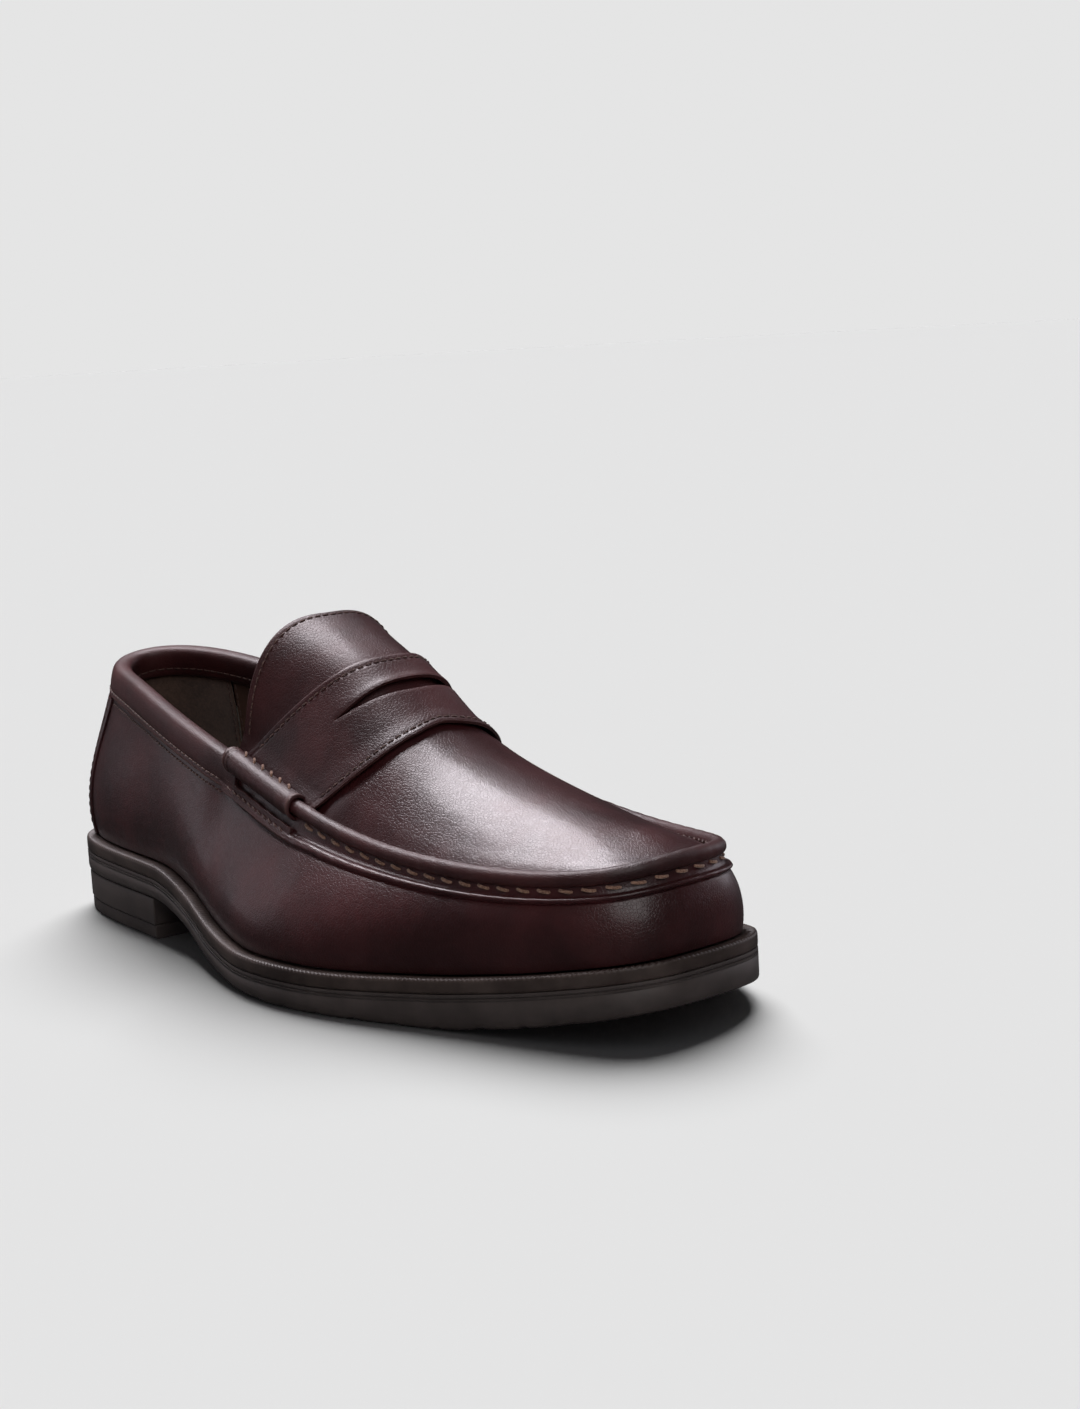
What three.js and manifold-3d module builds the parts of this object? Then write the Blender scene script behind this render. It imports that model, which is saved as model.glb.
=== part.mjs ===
// Penny loafer, the wearer's right shoe, as an assembly of separate cut and moulded pieces.
// Millimetres, +Z up, ground at z = 0. The toe points along -Y and the lateral side is -X.
// A plan position is given by its station, the distance forward from the back of the heel.
import * as THREE from "three";
import Module from "manifold-3d";

// ---- Driving dimensions ----
const LENGTH = 303; // sole, heel back to toe tip
const MIDLINE_X = 4.7; // puts the middle of the sole's width at x = 0
const HEEL_LENGTH = 76.5; // heel back to heel breast
const HEEL_HEIGHT = 14; // ground to the flat heel seat of the outsole
const TOP_LIFT = 4.6; // wearing lift under the heel block
const WELT_WIDTH = 4.2; // ledge of welt outside the upper
const WELT_HEIGHT = 4.6;
const WELT_DEPTH = 12; // plan width of the whole welt strip
const UPPER_LEATHER = 1.4;
const STRAP_LEATHER = 1.4;
const TONGUE_LEATHER = 1.2;
const LINING_LEATHER = 0.9;
const STIFFENER = 1.0;
const GAP = 0.3; // clearance between touching pieces
const ROLL_RADIUS = 2.1; // moccasin seam roll
const BEEF_ROLL_RADIUS = 4.0; // strap end wrapped round the seam
const HEM_DEPTH = 4.2; // apron edge turned down behind the seam
const LIP_WIDTH = 1.2; // raw vamp edge standing out under the roll
const LIP_START = 0.84; // share of the wall's height where the lip begins
const SHANK_THICKNESS = 1.2;
const SHANK_WIDTH = 14;
const BOARD_THICKNESS = 2.0;
const SOCK_THICKNESS = 1.0;
const HEEL_PAD_THICKNESS = 3.0;
const NAIL_RADIUS = 1.2;
const NAIL_HEAD_RADIUS = 2.4;
const LINING_OFFSET = UPPER_LEATHER + STIFFENER + 2 * GAP;
const STATIONS_AROUND = 52; // steps round the shoe, two for each control point

// ---- Colours ----
const OXBLOOD = 0x3a1618;
const SOLE_RUBBER = 0x1c1615;
const WELT_BROWN = 0x241a17;
const LINING_BROWN = 0x3b2a22;
const THREAD_BROWN = 0x6b4a33;
const CORK_TAN = 0xb08a5c;
const BOARD_TAN = 0x9a7b55;
const STIFFENER_GREY = 0x8d8478;
const SPRING_STEEL = 0x9a9ca0;
const FOAM_BROWN = 0x4a3a30;

// ---- Small vector helpers ----
const add = (a, b) => [a[0] + b[0], a[1] + b[1], a[2] + b[2]];
const scale = (a, k) => [a[0] * k, a[1] * k, a[2] * k];
const subtract = (a, b) => add(a, scale(b, -1));
const mix = (a, b, t) => a.map((value, i) => value + (b[i] - value) * t);
const unit = (a) => scale(a, 1 / Math.hypot(...a));
const cross = (a, b) => [
  a[1] * b[2] - a[2] * b[1],
  a[2] * b[0] - a[0] * b[2],
  a[0] * b[1] - a[1] * b[0],
];
const UP = [0, 0, 1];
const range = (count, make) => Array.from({ length: count }, (_, i) => make(i));
const spread = (from, to, count) => range(count, (i) => from + ((to - from) * i) / (count - 1));
const radians = (degrees) => (degrees * Math.PI) / 180;

// Closed uniform cubic B-spline. The parameter runs once round from 0 to 1.
function closedSpline(points) {
  const count = points.length;
  return (parameter) => {
    const place = parameter * count;
    const i = Math.floor(place);
    const t = place - i;
    const weights = [
      (1 - t) ** 3,
      3 * t ** 3 - 6 * t * t + 4,
      1 + 3 * t + 3 * t * t - 3 * t ** 3,
      t ** 3,
    ];
    const near = weights.map((_, k) => points[(((i - 1 + k) % count) + count) % count]);
    return points[0].map((_, axis) =>
      weights.reduce((sum, weight, k) => sum + (weight * near[k][axis]) / 6, 0),
    );
  };
}

// Smooth curve through (position, value) pairs that never overshoots them.
function profile(pairs) {
  const slopes = pairs.slice(1).map(([x, y], i) => (y - pairs[i][1]) / (x - pairs[i][0]));
  const tangents = pairs.map((_, i) => {
    if (i === 0) return slopes[0];
    if (i === pairs.length - 1) return slopes[i - 1];
    const [before, after] = [slopes[i - 1], slopes[i]];
    return before * after <= 0 ? 0 : (2 * before * after) / (before + after);
  });
  return (x) => {
    let i = 0;
    while (i < pairs.length - 2 && x > pairs[i + 1][0]) i += 1;
    const width = pairs[i + 1][0] - pairs[i][0];
    const t = Math.min(1, Math.max(0, (x - pairs[i][0]) / width));
    const rise = (pairs[i + 1][1] - pairs[i][1]) * t * t * (3 - 2 * t);
    const leaving = tangents[i] * width * t * (1 - t) ** 2;
    const arriving = tangents[i + 1] * width * t * t * (1 - t);
    return pairs[i][1] + rise + leaving - arriving;
  };
}

// ---- Last: control points round the shoe, from the heel back by the lateral side ----
// Sole edge: x, station.
const SOLE_EDGE = [
  [4, -1], [-11.5, 2], [-23, 13], [-29.5, 35.5], [-33.5, 64], [-38.5, 97], [-50.5, 130.5],
  [-61, 164], [-58.5, 199.5], [-47.5, 233], [-38.5, 264.5], [-29, 292], [-15, 304],
  [2.5, 302.5], [21, 299.5], [36.5, 288], [48, 263], [51.5, 233], [46, 198], [36.5, 163],
  [31.5, 130], [33, 97], [35.5, 65], [35.5, 36.5], [30, 13], [19.5, 2],
];
// Top edge, the topline at the back and the moccasin seam at the front: x, station, height.
const TOP_EDGE = [
  [2, 14, 87], [-7, 18.5, 85.5], [-13, 28, 84], [-17.5, 43, 82.5], [-24, 64, 79.5],
  [-30.5, 95, 73], [-34, 127.5, 65.5], [-37.5, 164, 54.5], [-38, 197, 47], [-35.5, 231, 43.5],
  [-30, 262, 43], [-22, 285.5, 45], [-10.5, 293, 47], [3, 294, 48], [17, 291.5, 47.5],
  [25.5, 283.5, 46.5], [34, 262.5, 44.5], [38.5, 233.5, 45], [39, 198.5, 50], [37, 166.5, 57.5],
  [35, 133, 68.5], [32.5, 99.5, 76.5], [28.5, 66, 83], [24.5, 43, 86.5], [19, 27, 88],
  [11.5, 17, 88],
];
const PLACES = SOLE_EDGE.length; // a place is a control point's number, counted round
const STRAP_BACK = 6; // place where the saddle strap and its roll begin
const STRAP_FRONT = 7;

// Instep rows from the tongue's free edge to the toe: place on the seam, then the
// station and height of the crest.
const INSTEP_ROWS = [
  [6, 136.5, 107.5], [6.02, 152, 100.8], [6.05, 165.5, 94.3], [6.5, 177.5, 85.5], [7.1, 190.5, 76],
  [8, 206, 69], [9, 231, 61.5], [10, 252, 57], [11, 266, 54.5], [12, 273, 53], [13, 275, 52.5],
];
const TONGUE_ROW = 0;
const STRAP_BACK_ROW = 2;
const TONGUE_END_ROW = 3.1;
const APRON_START_ROW = 3.25;
const STRAP_FRONT_ROW = 4;
const TOE_ROW = 10;

const soleEdge = closedSpline(SOLE_EDGE);
const topEdge = closedSpline(TOP_EDGE);
const outsoleBottom = profile([
  [0, HEEL_HEIGHT], [HEEL_LENGTH, HEEL_HEIGHT], [103, 10.5], [133, 4], [163, 0.8], [188, 0],
  [234, 0], [259, 2.2], [284, 6.2], [LENGTH, 10],
]);
const outsoleTop = profile([
  [0, 21], [HEEL_LENGTH, 20.5], [104, 16.5], [134, 10.5], [164, 8], [189, 8], [234, 10],
  [259, 12.5], [284, 16], [LENGTH, 19],
]);
const crestStation = profile(INSTEP_ROWS.map(([, station], row) => [row, station]));
const crestHeight = profile(INSTEP_ROWS.map(([, , height], row) => [row, height]));
const seamPlace = profile(INSTEP_ROWS.map(([place], row) => [row, place]));
// How late each row falls from its crest to its edge, and how late it sweeps along the shoe.
const fallPower = profile([
  [TONGUE_ROW, 3.4], [STRAP_BACK_ROW, 3.2], [STRAP_FRONT_ROW, 2.5], [7, 2], [TOE_ROW, 1.8],
]);
const sweepPower = profile([
  [TONGUE_ROW, 1.25], [STRAP_BACK_ROW, 3], [STRAP_FRONT_ROW, 3.5], [7, 2.2], [TOE_ROW, 1.5],
]);
// The tongue's sides belly outward before they turn down to the seams.
const tongueBelly = profile([[TONGUE_ROW, 1.1], [STRAP_BACK_ROW, 0], [TOE_ROW, 0]]);

// How far the wall's cut edge stays below the top edge, by place from the heel.
const wallDrop = profile([[0, 1.8], [5.5, 1.8], [6, 4.7], [7, 4.7], [7.5, 3.6], [13, 3.6]]);
const wallSetOut = profile([[0, 0], [6, 0], [7.5, 1], [13, 1]]);
const lipWidth = profile([[0, 0], [6, 0], [6.5, LIP_WIDTH], [13, LIP_WIDTH]]);
// Lean of the wall from upright, in degrees: outward at its foot, inward at its top.
const footLean = profile([[0, 14], [60, 12], [110, 24], [160, 24], [220, 20], [270, 12], [305, 10]]);
const topLean = profile([[0, 16], [60, 8], [120, 6], [165, 30], [215, 56], [262, 52], [296, 34]]);

const fromStation = (x, station, z) => [x + MIDLINE_X, LENGTH / 2 - station, z];
const stationOf = (point) => LENGTH / 2 - point[1];
const placeFromHeel = (u) => (u <= 0.5 ? u : 1 - u) * PLACES;

// Outward plan normal of a curve round the shoe.
function outward(curve, u) {
  const step = 0.002;
  const [x0, s0] = curve((u - step + 1) % 1);
  const [x1, s1] = curve((u + step) % 1);
  return unit([s0 - s1, x0 - x1, 0]);
}

// ---- Wall of the upper: from the feather line on the welt to the top edge ----
function featherPoint(u, inset = WELT_WIDTH) {
  const [x, station] = soleEdge(u % 1);
  const edge = fromStation(x, station, 0);
  const point = subtract(edge, scale(outward(soleEdge, u % 1), inset));
  point[2] = outsoleTop(stationOf(point)) + WELT_HEIGHT;
  return point;
}

function seamPoint(u) {
  return fromStation(...topEdge(((u % 1) + 1) % 1));
}

function wallPoint(u, v) {
  const around = ((u % 1) + 1) % 1;
  const out = outward(soleEdge, around);
  const place = placeFromHeel(around);
  const foot = add(featherPoint(around), [0, 0, GAP]);
  const seam = seamPoint(around);
  const top = add(seam, add(scale(out, wallSetOut(place)), [0, 0, -wallDrop(place)]));
  const height = top[2] - foot[2];
  const a = radians(footLean(stationOf(foot)));
  const b = radians(topLean(stationOf(seam)));
  const leave = scale(add(scale(UP, Math.cos(a)), scale(out, Math.sin(a))), height * 1.1);
  const arrive = scale(add(scale(UP, Math.cos(b)), scale(out, -Math.sin(b))), height * 1.1);
  const h = [2 * v ** 3 - 3 * v * v + 1, v ** 3 - 2 * v * v + v, 3 * v * v - 2 * v ** 3, v ** 3 - v * v];
  return range(3, (i) => h[0] * foot[i] + h[1] * leave[i] + h[2] * top[i] + h[3] * arrive[i]);
}

function wallNormal(u, v) {
  const step = 0.004;
  const along = subtract(wallPoint(u + step, v), wallPoint(u - step, v));
  const low = Math.max(0, v - 0.02);
  const high = Math.min(1, v + 0.02);
  const rise = subtract(wallPoint(u, high), wallPoint(u, low));
  return unit(cross(along, rise));
}

const wallOffset = (u, v, distance) => add(wallPoint(u, v), scale(wallNormal(u, v), distance));

// A point at the collar: a outward from the wall, b up from the topline.
function collarPoint(u, a, b) {
  const above = b + wallDrop(placeFromHeel(((u % 1) + 1) % 1));
  const height = Math.hypot(...subtract(wallPoint(u, 1), wallPoint(u, 0)));
  if (above < 0) return wallOffset(u, 1 + above / height, a);
  const rise = unit(subtract(wallPoint(u, 1), wallPoint(u, 0.98)));
  return add(wallOffset(u, 1, a), scale(rise, above));
}

// ---- Instep: the arched surface shared by apron, tongue and saddle strap ----
// side runs from -1 at the lateral seam over 0 at the crest to 1 at the medial seam.
const seamInset = profile([
  [6, BEEF_ROLL_RADIUS + GAP], [7, BEEF_ROLL_RADIUS + GAP], [7.5, ROLL_RADIUS + GAP],
  [13, ROLL_RADIUS + GAP],
]);

function seamShare(row, side) {
  const share = seamPlace(row) / PLACES;
  return side < 0 ? share : 1 - share;
}

function instepEdge(row, side) {
  const u = seamShare(row, side);
  const edge = subtract(seamPoint(u), scale(outward(topEdge, u), seamInset(seamPlace(row))));
  return add(edge, [0, 0, -0.4]);
}

function instepPoint(row, side) {
  const edge = instepEdge(row, side);
  const middle = (instepEdge(row, -1)[0] + instepEdge(row, 1)[0]) / 2;
  const crest = [middle, LENGTH / 2 - crestStation(row), crestHeight(row)];
  const t = Math.abs(side);
  const spread = t + tongueBelly(row) * t ** 3 * (1 - t);
  return [
    crest[0] + (edge[0] - crest[0]) * spread,
    crest[1] + (edge[1] - crest[1]) * t ** sweepPower(row),
    crest[2] + (edge[2] - crest[2]) * t ** fallPower(row),
  ];
}

function instepOffset(row, side, distance) {
  const step = 0.03;
  const across = subtract(
    instepPoint(row, Math.min(1, side + step)),
    instepPoint(row, Math.max(-1, side - step)),
  );
  const forward = subtract(
    instepPoint(Math.min(TOE_ROW, row + step), side),
    instepPoint(Math.max(0, row - step), side),
  );
  return add(instepPoint(row, side), scale(unit(cross(forward, across)), distance));
}

// ---- Building closed meshes ----
const shoe = new THREE.Group();

function addMesh(name, geometry, color, roughness = 0.5, metalness = 0) {
  geometry.computeVertexNormals();
  const material = new THREE.MeshStandardMaterial({ color, roughness, metalness });
  const mesh = new THREE.Mesh(geometry, material);
  mesh.name = name;
  shoe.add(mesh);
}

function toGeometry(points, triangles) {
  const volume = triangles.reduce((sum, [a, b, c]) => {
    const [p, q, r] = [points[a], points[b], points[c]];
    const normal = cross(q, r);
    return sum + p[0] * normal[0] + p[1] * normal[1] + p[2] * normal[2];
  }, 0);
  const facing = volume < 0 ? triangles.map(([a, b, c]) => [a, c, b]) : triangles;
  const geometry = new THREE.BufferGeometry();
  geometry.setAttribute("position", new THREE.Float32BufferAttribute(points.flat(), 3));
  geometry.setIndex(facing.flat());
  return geometry;
}

// Closes the space between two matching grids of points. Points that coincide are one
// vertex, so a grid can wrap round or fold onto itself, and only open edges get a side.
function plate(outer, inner, isHole = () => false) {
  const points = [];
  const known = new Map();
  const vertex = (point) => {
    const key = point.map((value) => value.toFixed(3)).join();
    if (!known.has(key)) known.set(key, points.push(point) - 1);
    return known.get(key);
  };
  const triangles = [];
  const edges = new Map();
  const addTriangle = (cells) => {
    const top = cells.map(([i, j]) => vertex(outer[i][j]));
    const bottom = cells.map(([i, j]) => vertex(inner[i][j]));
    if (new Set(top).size < 3) return;
    triangles.push(top);
    triangles.push([bottom[0], bottom[2], bottom[1]]);
    range(3, (k) => [k, (k + 1) % 3]).forEach(([a, b]) => {
      edges.set(`${top[a]}_${top[b]}`, [top[a], top[b], bottom[a], bottom[b]]);
    });
  };
  for (let i = 0; i + 1 < outer.length; i += 1) {
    for (let j = 0; j + 1 < outer[i].length; j += 1) {
      if (isHole(i, j)) continue;
      addTriangle([[i, j], [i + 1, j], [i + 1, j + 1]]);
      addTriangle([[i, j], [i + 1, j + 1], [i, j + 1]]);
    }
  }
  edges.forEach(([a, b, below, beyond]) => {
    if (edges.has(`${b}_${a}`)) return;
    triangles.push([b, a, below]);
    triangles.push([b, below, beyond]);
  });
  return toGeometry(points, triangles);
}

// A rod of convex sections, closed at both ends.
function rod(sections) {
  const sides = sections[0].length;
  const last = (sections.length - 1) * sides;
  const triangles = [];
  for (let i = 0; i + 1 < sections.length; i += 1) {
    for (let j = 0; j < sides; j += 1) {
      const [a, b] = [i * sides + j, i * sides + ((j + 1) % sides)];
      triangles.push([a, b, b + sides], [a, b + sides, a + sides]);
    }
  }
  for (let j = 1; j + 1 < sides; j += 1) {
    triangles.push([0, j + 1, j], [last, last + j, last + j + 1]);
  }
  return toGeometry(sections.flat(), triangles);
}

// A round rod that follows the seam between two places, on one side or round the toe.
function seamRod(from, to, steps, sides, radiusAt, shift = [0, 0]) {
  return rod(spread(from, to, steps).map((place) => {
    const u = place / PLACES;
    const out = outward(topEdge, u);
    const centre = add(seamPoint(u), add(scale(out, shift[0]), scale(UP, shift[1])));
    const radius = radiusAt((place - from) / (to - from));
    return range(sides, (k) => {
      const angle = (2 * Math.PI * k) / sides;
      const [a, b] = [Math.cos(angle) * radius, Math.sin(angle) * radius];
      return add(centre, add(scale(out, a), scale(UP, b)));
    });
  }));
}

const ringOf = (step) => step / STATIONS_AROUND;
const wallSteps = (fromPlace, toPlace) => {
  const perPlace = STATIONS_AROUND / PLACES;
  const [first, last] = [Math.round(fromPlace * perPlace), Math.round(toPlace * perPlace)];
  return range(last - first + 1, (i) => ringOf(first + i));
};

// Positions across the instep, closer together where its sides turn steep.
const across = (count, reach) => spread(-1, 1, count).map((side) =>
  reach * Math.sign(side) * Math.abs(side) ** 0.8);

// A patch of the wall between two places and two heights, between two offsets.
function wallPatch(steps, heights, outerOffset, innerOffset) {
  const grid = (offset) => steps.map((u) => heights.map((v) => wallOffset(u, v, offset)));
  return plate(grid(outerOffset), grid(innerOffset));
}

// A slab across the whole sole, inset from the sole's edge, between two height functions.
function soleSlab(inset, bottomAt, topAt, isInside = () => true) {
  const rows = range(STATIONS_AROUND / 2 + 1, (k) => {
    const lateral = featherPoint(ringOf(k), inset);
    const medial = featherPoint(ringOf(STATIONS_AROUND - k), inset);
    const middle = mix(lateral, medial, 0.5);
    const endRoom = 22;
    const station = Math.min(LENGTH - endRoom, Math.max(endRoom, stationOf(middle)));
    middle[1] = LENGTH / 2 - station;
    return [lateral, mix(lateral, middle, 0.5), middle, mix(medial, middle, 0.5), medial];
  }).filter(isInside);
  const grid = (heightAt) => rows.map((row) =>
    row.map((point) => [point[0], point[1], heightAt(stationOf(point))]));
  return plate(grid(topAt), grid(bottomAt));
}

// The heel's slabs stop at the flat breast.
function heelSlab(inset, bottomAt, topAt) {
  const breast = LENGTH / 2 - HEEL_LENGTH;
  const rows = range(STATIONS_AROUND / 2 + 1, (k) =>
    [featherPoint(ringOf(k), inset), featherPoint(ringOf(STATIONS_AROUND - k), inset)]);
  const kept = rows.filter(([lateral]) => lateral[1] > breast + 4);
  const next = rows[kept.length];
  const previous = kept[kept.length - 1];
  kept.push(range(2, (side) => {
    const t = (previous[side][1] - breast) / (previous[side][1] - next[side][1]);
    return mix(previous[side], next[side], t);
  }));
  const grid = (heightAt) => kept.map((ends) => spread(0, 1, 5).map((t) => {
    const point = mix(ends[0], ends[1], t);
    return [point[0], point[1], heightAt(stationOf(point))];
  }));
  return plate(grid(topAt), grid(bottomAt));
}

// ---- Boolean cuts ----
const wasm = await Module();
wasm.setup();

function toManifold(geometry) {
  return new wasm.Manifold(new wasm.Mesh({
    numProp: 3,
    vertProperties: Float32Array.from(geometry.attributes.position.array),
    triVerts: Uint32Array.from(geometry.index.array),
  }));
}

function cut(geometry, cutters) {
  const solid = cutters.reduce((left, cutter) => left.subtract(toManifold(cutter)), toManifold(geometry));
  const mesh = solid.getMesh();
  const result = new THREE.BufferGeometry();
  result.setAttribute("position", new THREE.Float32BufferAttribute(mesh.vertProperties, 3));
  result.setIndex([...mesh.triVerts]);
  return result;
}

// A turned shape round a vertical axis, from (radius, height) pairs.
function turned(x, y, outline, sides = 10) {
  const sections = outline.map(([radius, z]) => range(sides, (k) => {
    const angle = (2 * Math.PI * k) / sides;
    return [x + radius * Math.cos(angle), y + radius * Math.sin(angle), z];
  }));
  return rod(sections);
}

// ---- Sole ----
const weltTop = (station) => outsoleTop(station) + WELT_HEIGHT;
const boardBottom = (station) => weltTop(station) + 2 * GAP;
const boardTop = (station) => boardBottom(station) + BOARD_THICKNESS;
const sockBottom = (station) => boardTop(station) + GAP;
const sockTop = (station) => sockBottom(station) + SOCK_THICKNESS;
const INNER_INSET = WELT_WIDTH + LINING_OFFSET + LINING_LEATHER + 0.5;

const NAIL_PLACES = [[2.5, 20], [-12, 34], [17, 34], [-12, 60], [17, 60]];
const nailTop = HEEL_HEIGHT + 7 + GAP;
const nailPoints = NAIL_PLACES.map(([x, station]) => fromStation(x, station, 0));
const nailHoles = nailPoints.map(([x, y]) =>
  turned(x, y, [[NAIL_RADIUS + GAP, TOP_LIFT + 1.5], [NAIL_RADIUS + GAP, nailTop + 9]], 8));

function addSole() {
  addMesh("outsole", cut(soleSlab(0, outsoleBottom, outsoleTop), nailHoles), SOLE_RUBBER, 0.6);
  const heelTop = () => HEEL_HEIGHT - GAP;
  addMesh("heel_block", cut(heelSlab(0.4, () => TOP_LIFT + GAP, heelTop), nailHoles), SOLE_RUBBER, 0.6);
  addMesh("heel_top_lift", heelSlab(0.9, () => 0, () => TOP_LIFT), SOLE_RUBBER, 0.7);
  nailPoints.forEach(([x, y], i) => {
    const outline = [[NAIL_RADIUS, TOP_LIFT + 2], [NAIL_RADIUS, nailTop], [NAIL_HEAD_RADIUS, nailTop],
      [NAIL_HEAD_RADIUS, nailTop + 1]];
    addMesh(`heel_nail_${i + 1}`, turned(x, y, outline, 8), SPRING_STEEL, 0.35, 1);
  });

  const ring = range(STATIONS_AROUND + 1, (k) => ringOf(k % STATIONS_AROUND));
  const weltGrid = (heightAt) => ring.map((u) => [0, WELT_DEPTH / 2, WELT_DEPTH].map((inset) => {
    const point = featherPoint(u, inset);
    return [point[0], point[1], heightAt(stationOf(point))];
  }));
  const weltBottom = (station) => outsoleTop(station) + GAP;
  addMesh("welt", plate(weltGrid(weltTop), weltGrid(weltBottom)), WELT_BROWN, 0.6);
}

function addFootbed() {
  const overNailHeads = nailTop + 1 + GAP - outsoleTop(HEEL_LENGTH);
  const lift = profile([[0, overNailHeads], [82, overNailHeads], [98, 2 * GAP], [LENGTH, 2 * GAP]]);
  const fillerBottom = (station) => outsoleTop(station) + lift(station);
  const fillerTop = (station) => weltTop(station) - SHANK_THICKNESS - GAP;
  addMesh("cork_filler", soleSlab(WELT_DEPTH + 0.6, fillerBottom, fillerTop), CORK_TAN, 0.9);
  const shankBottom = (station) => fillerTop(station) + GAP;
  const shankTop = (station) => shankBottom(station) + SHANK_THICKNESS;
  const shankGrid = (heightAt) => spread(62, 172, 12).map((station) =>
    spread(-SHANK_WIDTH / 2, SHANK_WIDTH / 2, 2).map((x) => fromStation(x, station, heightAt(station))));
  addMesh("shank", plate(shankGrid(shankTop), shankGrid(shankBottom)), SPRING_STEEL, 0.35, 1);
  addMesh("insole_board", soleSlab(INNER_INSET, boardBottom, boardTop), BOARD_TAN, 0.85);
  addMesh("sock_liner", soleSlab(INNER_INSET + 0.4, sockBottom, sockTop), LINING_BROWN, 0.8);
}

// The foam heel pad is a low dome on top of the sock liner.
function addHeelPad() {
  const [centreX, back, front, halfWidth, rim] = [2.5, 14, 86, 23, 0.6];
  const rows = spread(0, Math.PI, 13).map((angle) => {
    const station = (back + front) / 2 - ((front - back) / 2) * Math.cos(angle);
    return spread(-1, 1, 9).map((side) => {
      const crown = Math.sin(angle) * (1 - side ** 4);
      return [centreX + halfWidth * Math.sqrt(Math.sin(angle)) * side, station, crown];
    });
  });
  const base = (station) => sockTop(station) + GAP;
  const bottom = rows.map((row) => row.map(([x, s]) => fromStation(x, s, base(s))));
  const top = rows.map((row) => row.map(([x, s, crown]) =>
    fromStation(x, s, base(s) + rim + (HEEL_PAD_THICKNESS - rim) * crown)));
  addMesh("heel_pad", plate(top, bottom), FOAM_BROWN, 0.9);
}

// ---- Upper ----
function addVamp() {
  const backSeam = 0.0006; // half of the open back seam, as a share of the way round
  const steps = range(STATIONS_AROUND + 1, (k) => ringOf(k));
  steps[0] += backSeam;
  steps[STATIONS_AROUND] -= backSeam;
  const wallHeights = [0, 0.16, 0.34, 0.52, 0.7, LIP_START];
  const lipHeights = [LIP_START + 0.01, 0.925, 1];
  const outer = steps.map((u) => [
    ...wallHeights.map((v) => wallPoint(u, v)),
    ...lipHeights.map((v) => wallOffset(u, v, lipWidth(placeFromHeel(u)))),
  ]);
  const inner = steps.map((u) => [...wallHeights, ...lipHeights].map((v) =>
    wallOffset(u, v, -UPPER_LEATHER)));
  addMesh("vamp", plate(outer, inner), OXBLOOD, 0.35);
}

function addLinings() {
  const behindUpper = [-UPPER_LEATHER - GAP, -UPPER_LEATHER - GAP - STIFFENER];
  const lining = [-LINING_OFFSET, -LINING_OFFSET - LINING_LEATHER];
  const low = spread(0.03, 0.7, 5);
  const full = spread(0.015, 0.97, 6);
  addMesh("heel_counter", wallPatch(wallSteps(-3, 3), low, ...behindUpper), STIFFENER_GREY, 0.8);
  addMesh("toe_puff", wallPatch(wallSteps(10, 16), low, ...behindUpper), STIFFENER_GREY, 0.8);
  const joint = 0.0012;
  const pieces = {
    heel_grip: [-3, 3],
    quarter_lining_lateral: [3, 6],
    vamp_lining: [6, 20],
    quarter_lining_medial: [20, 23],
  };
  Object.entries(pieces).forEach(([name, [from, to]]) => {
    const steps = wallSteps(from, to);
    steps[0] += joint;
    steps[steps.length - 1] -= joint;
    addMesh(name, wallPatch(steps, full, ...lining), LINING_BROWN, 0.8);
  });
}

// The apron, with its edge turned down behind the seam.
function addApron() {
  const sides = across(13, 1);
  const rows = [APRON_START_ROW, ...spread(3.6, TOE_ROW, 14)];
  const hem = (row, side, drop, thickness) => {
    const u = seamShare(row, side);
    const edge = subtract(instepEdge(row, side), scale(outward(topEdge, u), thickness));
    return add(edge, [0, 0, -drop]);
  };
  const below = (row, side, depth) => add(instepPoint(row, side), [0, 0, -depth]);
  const inside = sides.slice(1, -1);
  const outer = rows.map((row) => [
    hem(row, -1, HEM_DEPTH, 0),
    ...sides.map((side) => instepPoint(row, side)),
    hem(row, 1, HEM_DEPTH, 0),
  ]);
  const inner = rows.map((row) => [
    hem(row, -1, HEM_DEPTH, UPPER_LEATHER),
    hem(row, -1, UPPER_LEATHER * 1.4, UPPER_LEATHER),
    ...inside.map((side) => below(row, side, UPPER_LEATHER)),
    hem(row, 1, UPPER_LEATHER * 1.4, UPPER_LEATHER),
    hem(row, 1, HEM_DEPTH, UPPER_LEATHER),
  ]);
  addMesh("apron", plate(outer, inner), OXBLOOD, 0.3);
  const liningAt = (depth) => rows.map((row) => inside.map((side) => below(row, side, depth)));
  const depth = UPPER_LEATHER + 2 * GAP;
  addMesh("apron_lining", plate(liningAt(depth), liningAt(depth + LINING_LEATHER)), LINING_BROWN, 0.8);
}

function instepSheet(rows, sides, outerOffset, innerOffset, isHole) {
  const grid = (offset) => rows.map((row) => sides.map((side) => instepOffset(row, side, offset)));
  return plate(grid(outerOffset), grid(innerOffset), isHole);
}

function addTongue() {
  const rows = spread(TONGUE_ROW, TONGUE_END_ROW, 8);
  addMesh("tongue", instepSheet(rows, across(15, 0.97), 0, -TONGUE_LEATHER), OXBLOOD, 0.35);
  const back = -TONGUE_LEATHER - GAP;
  const liningRows = spread(TONGUE_ROW + 0.08, TONGUE_END_ROW, 8);
  const lining = instepSheet(liningRows, across(15, 0.94), back, back - LINING_LEATHER);
  addMesh("tongue_lining", lining, LINING_BROWN, 0.8);
}

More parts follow.
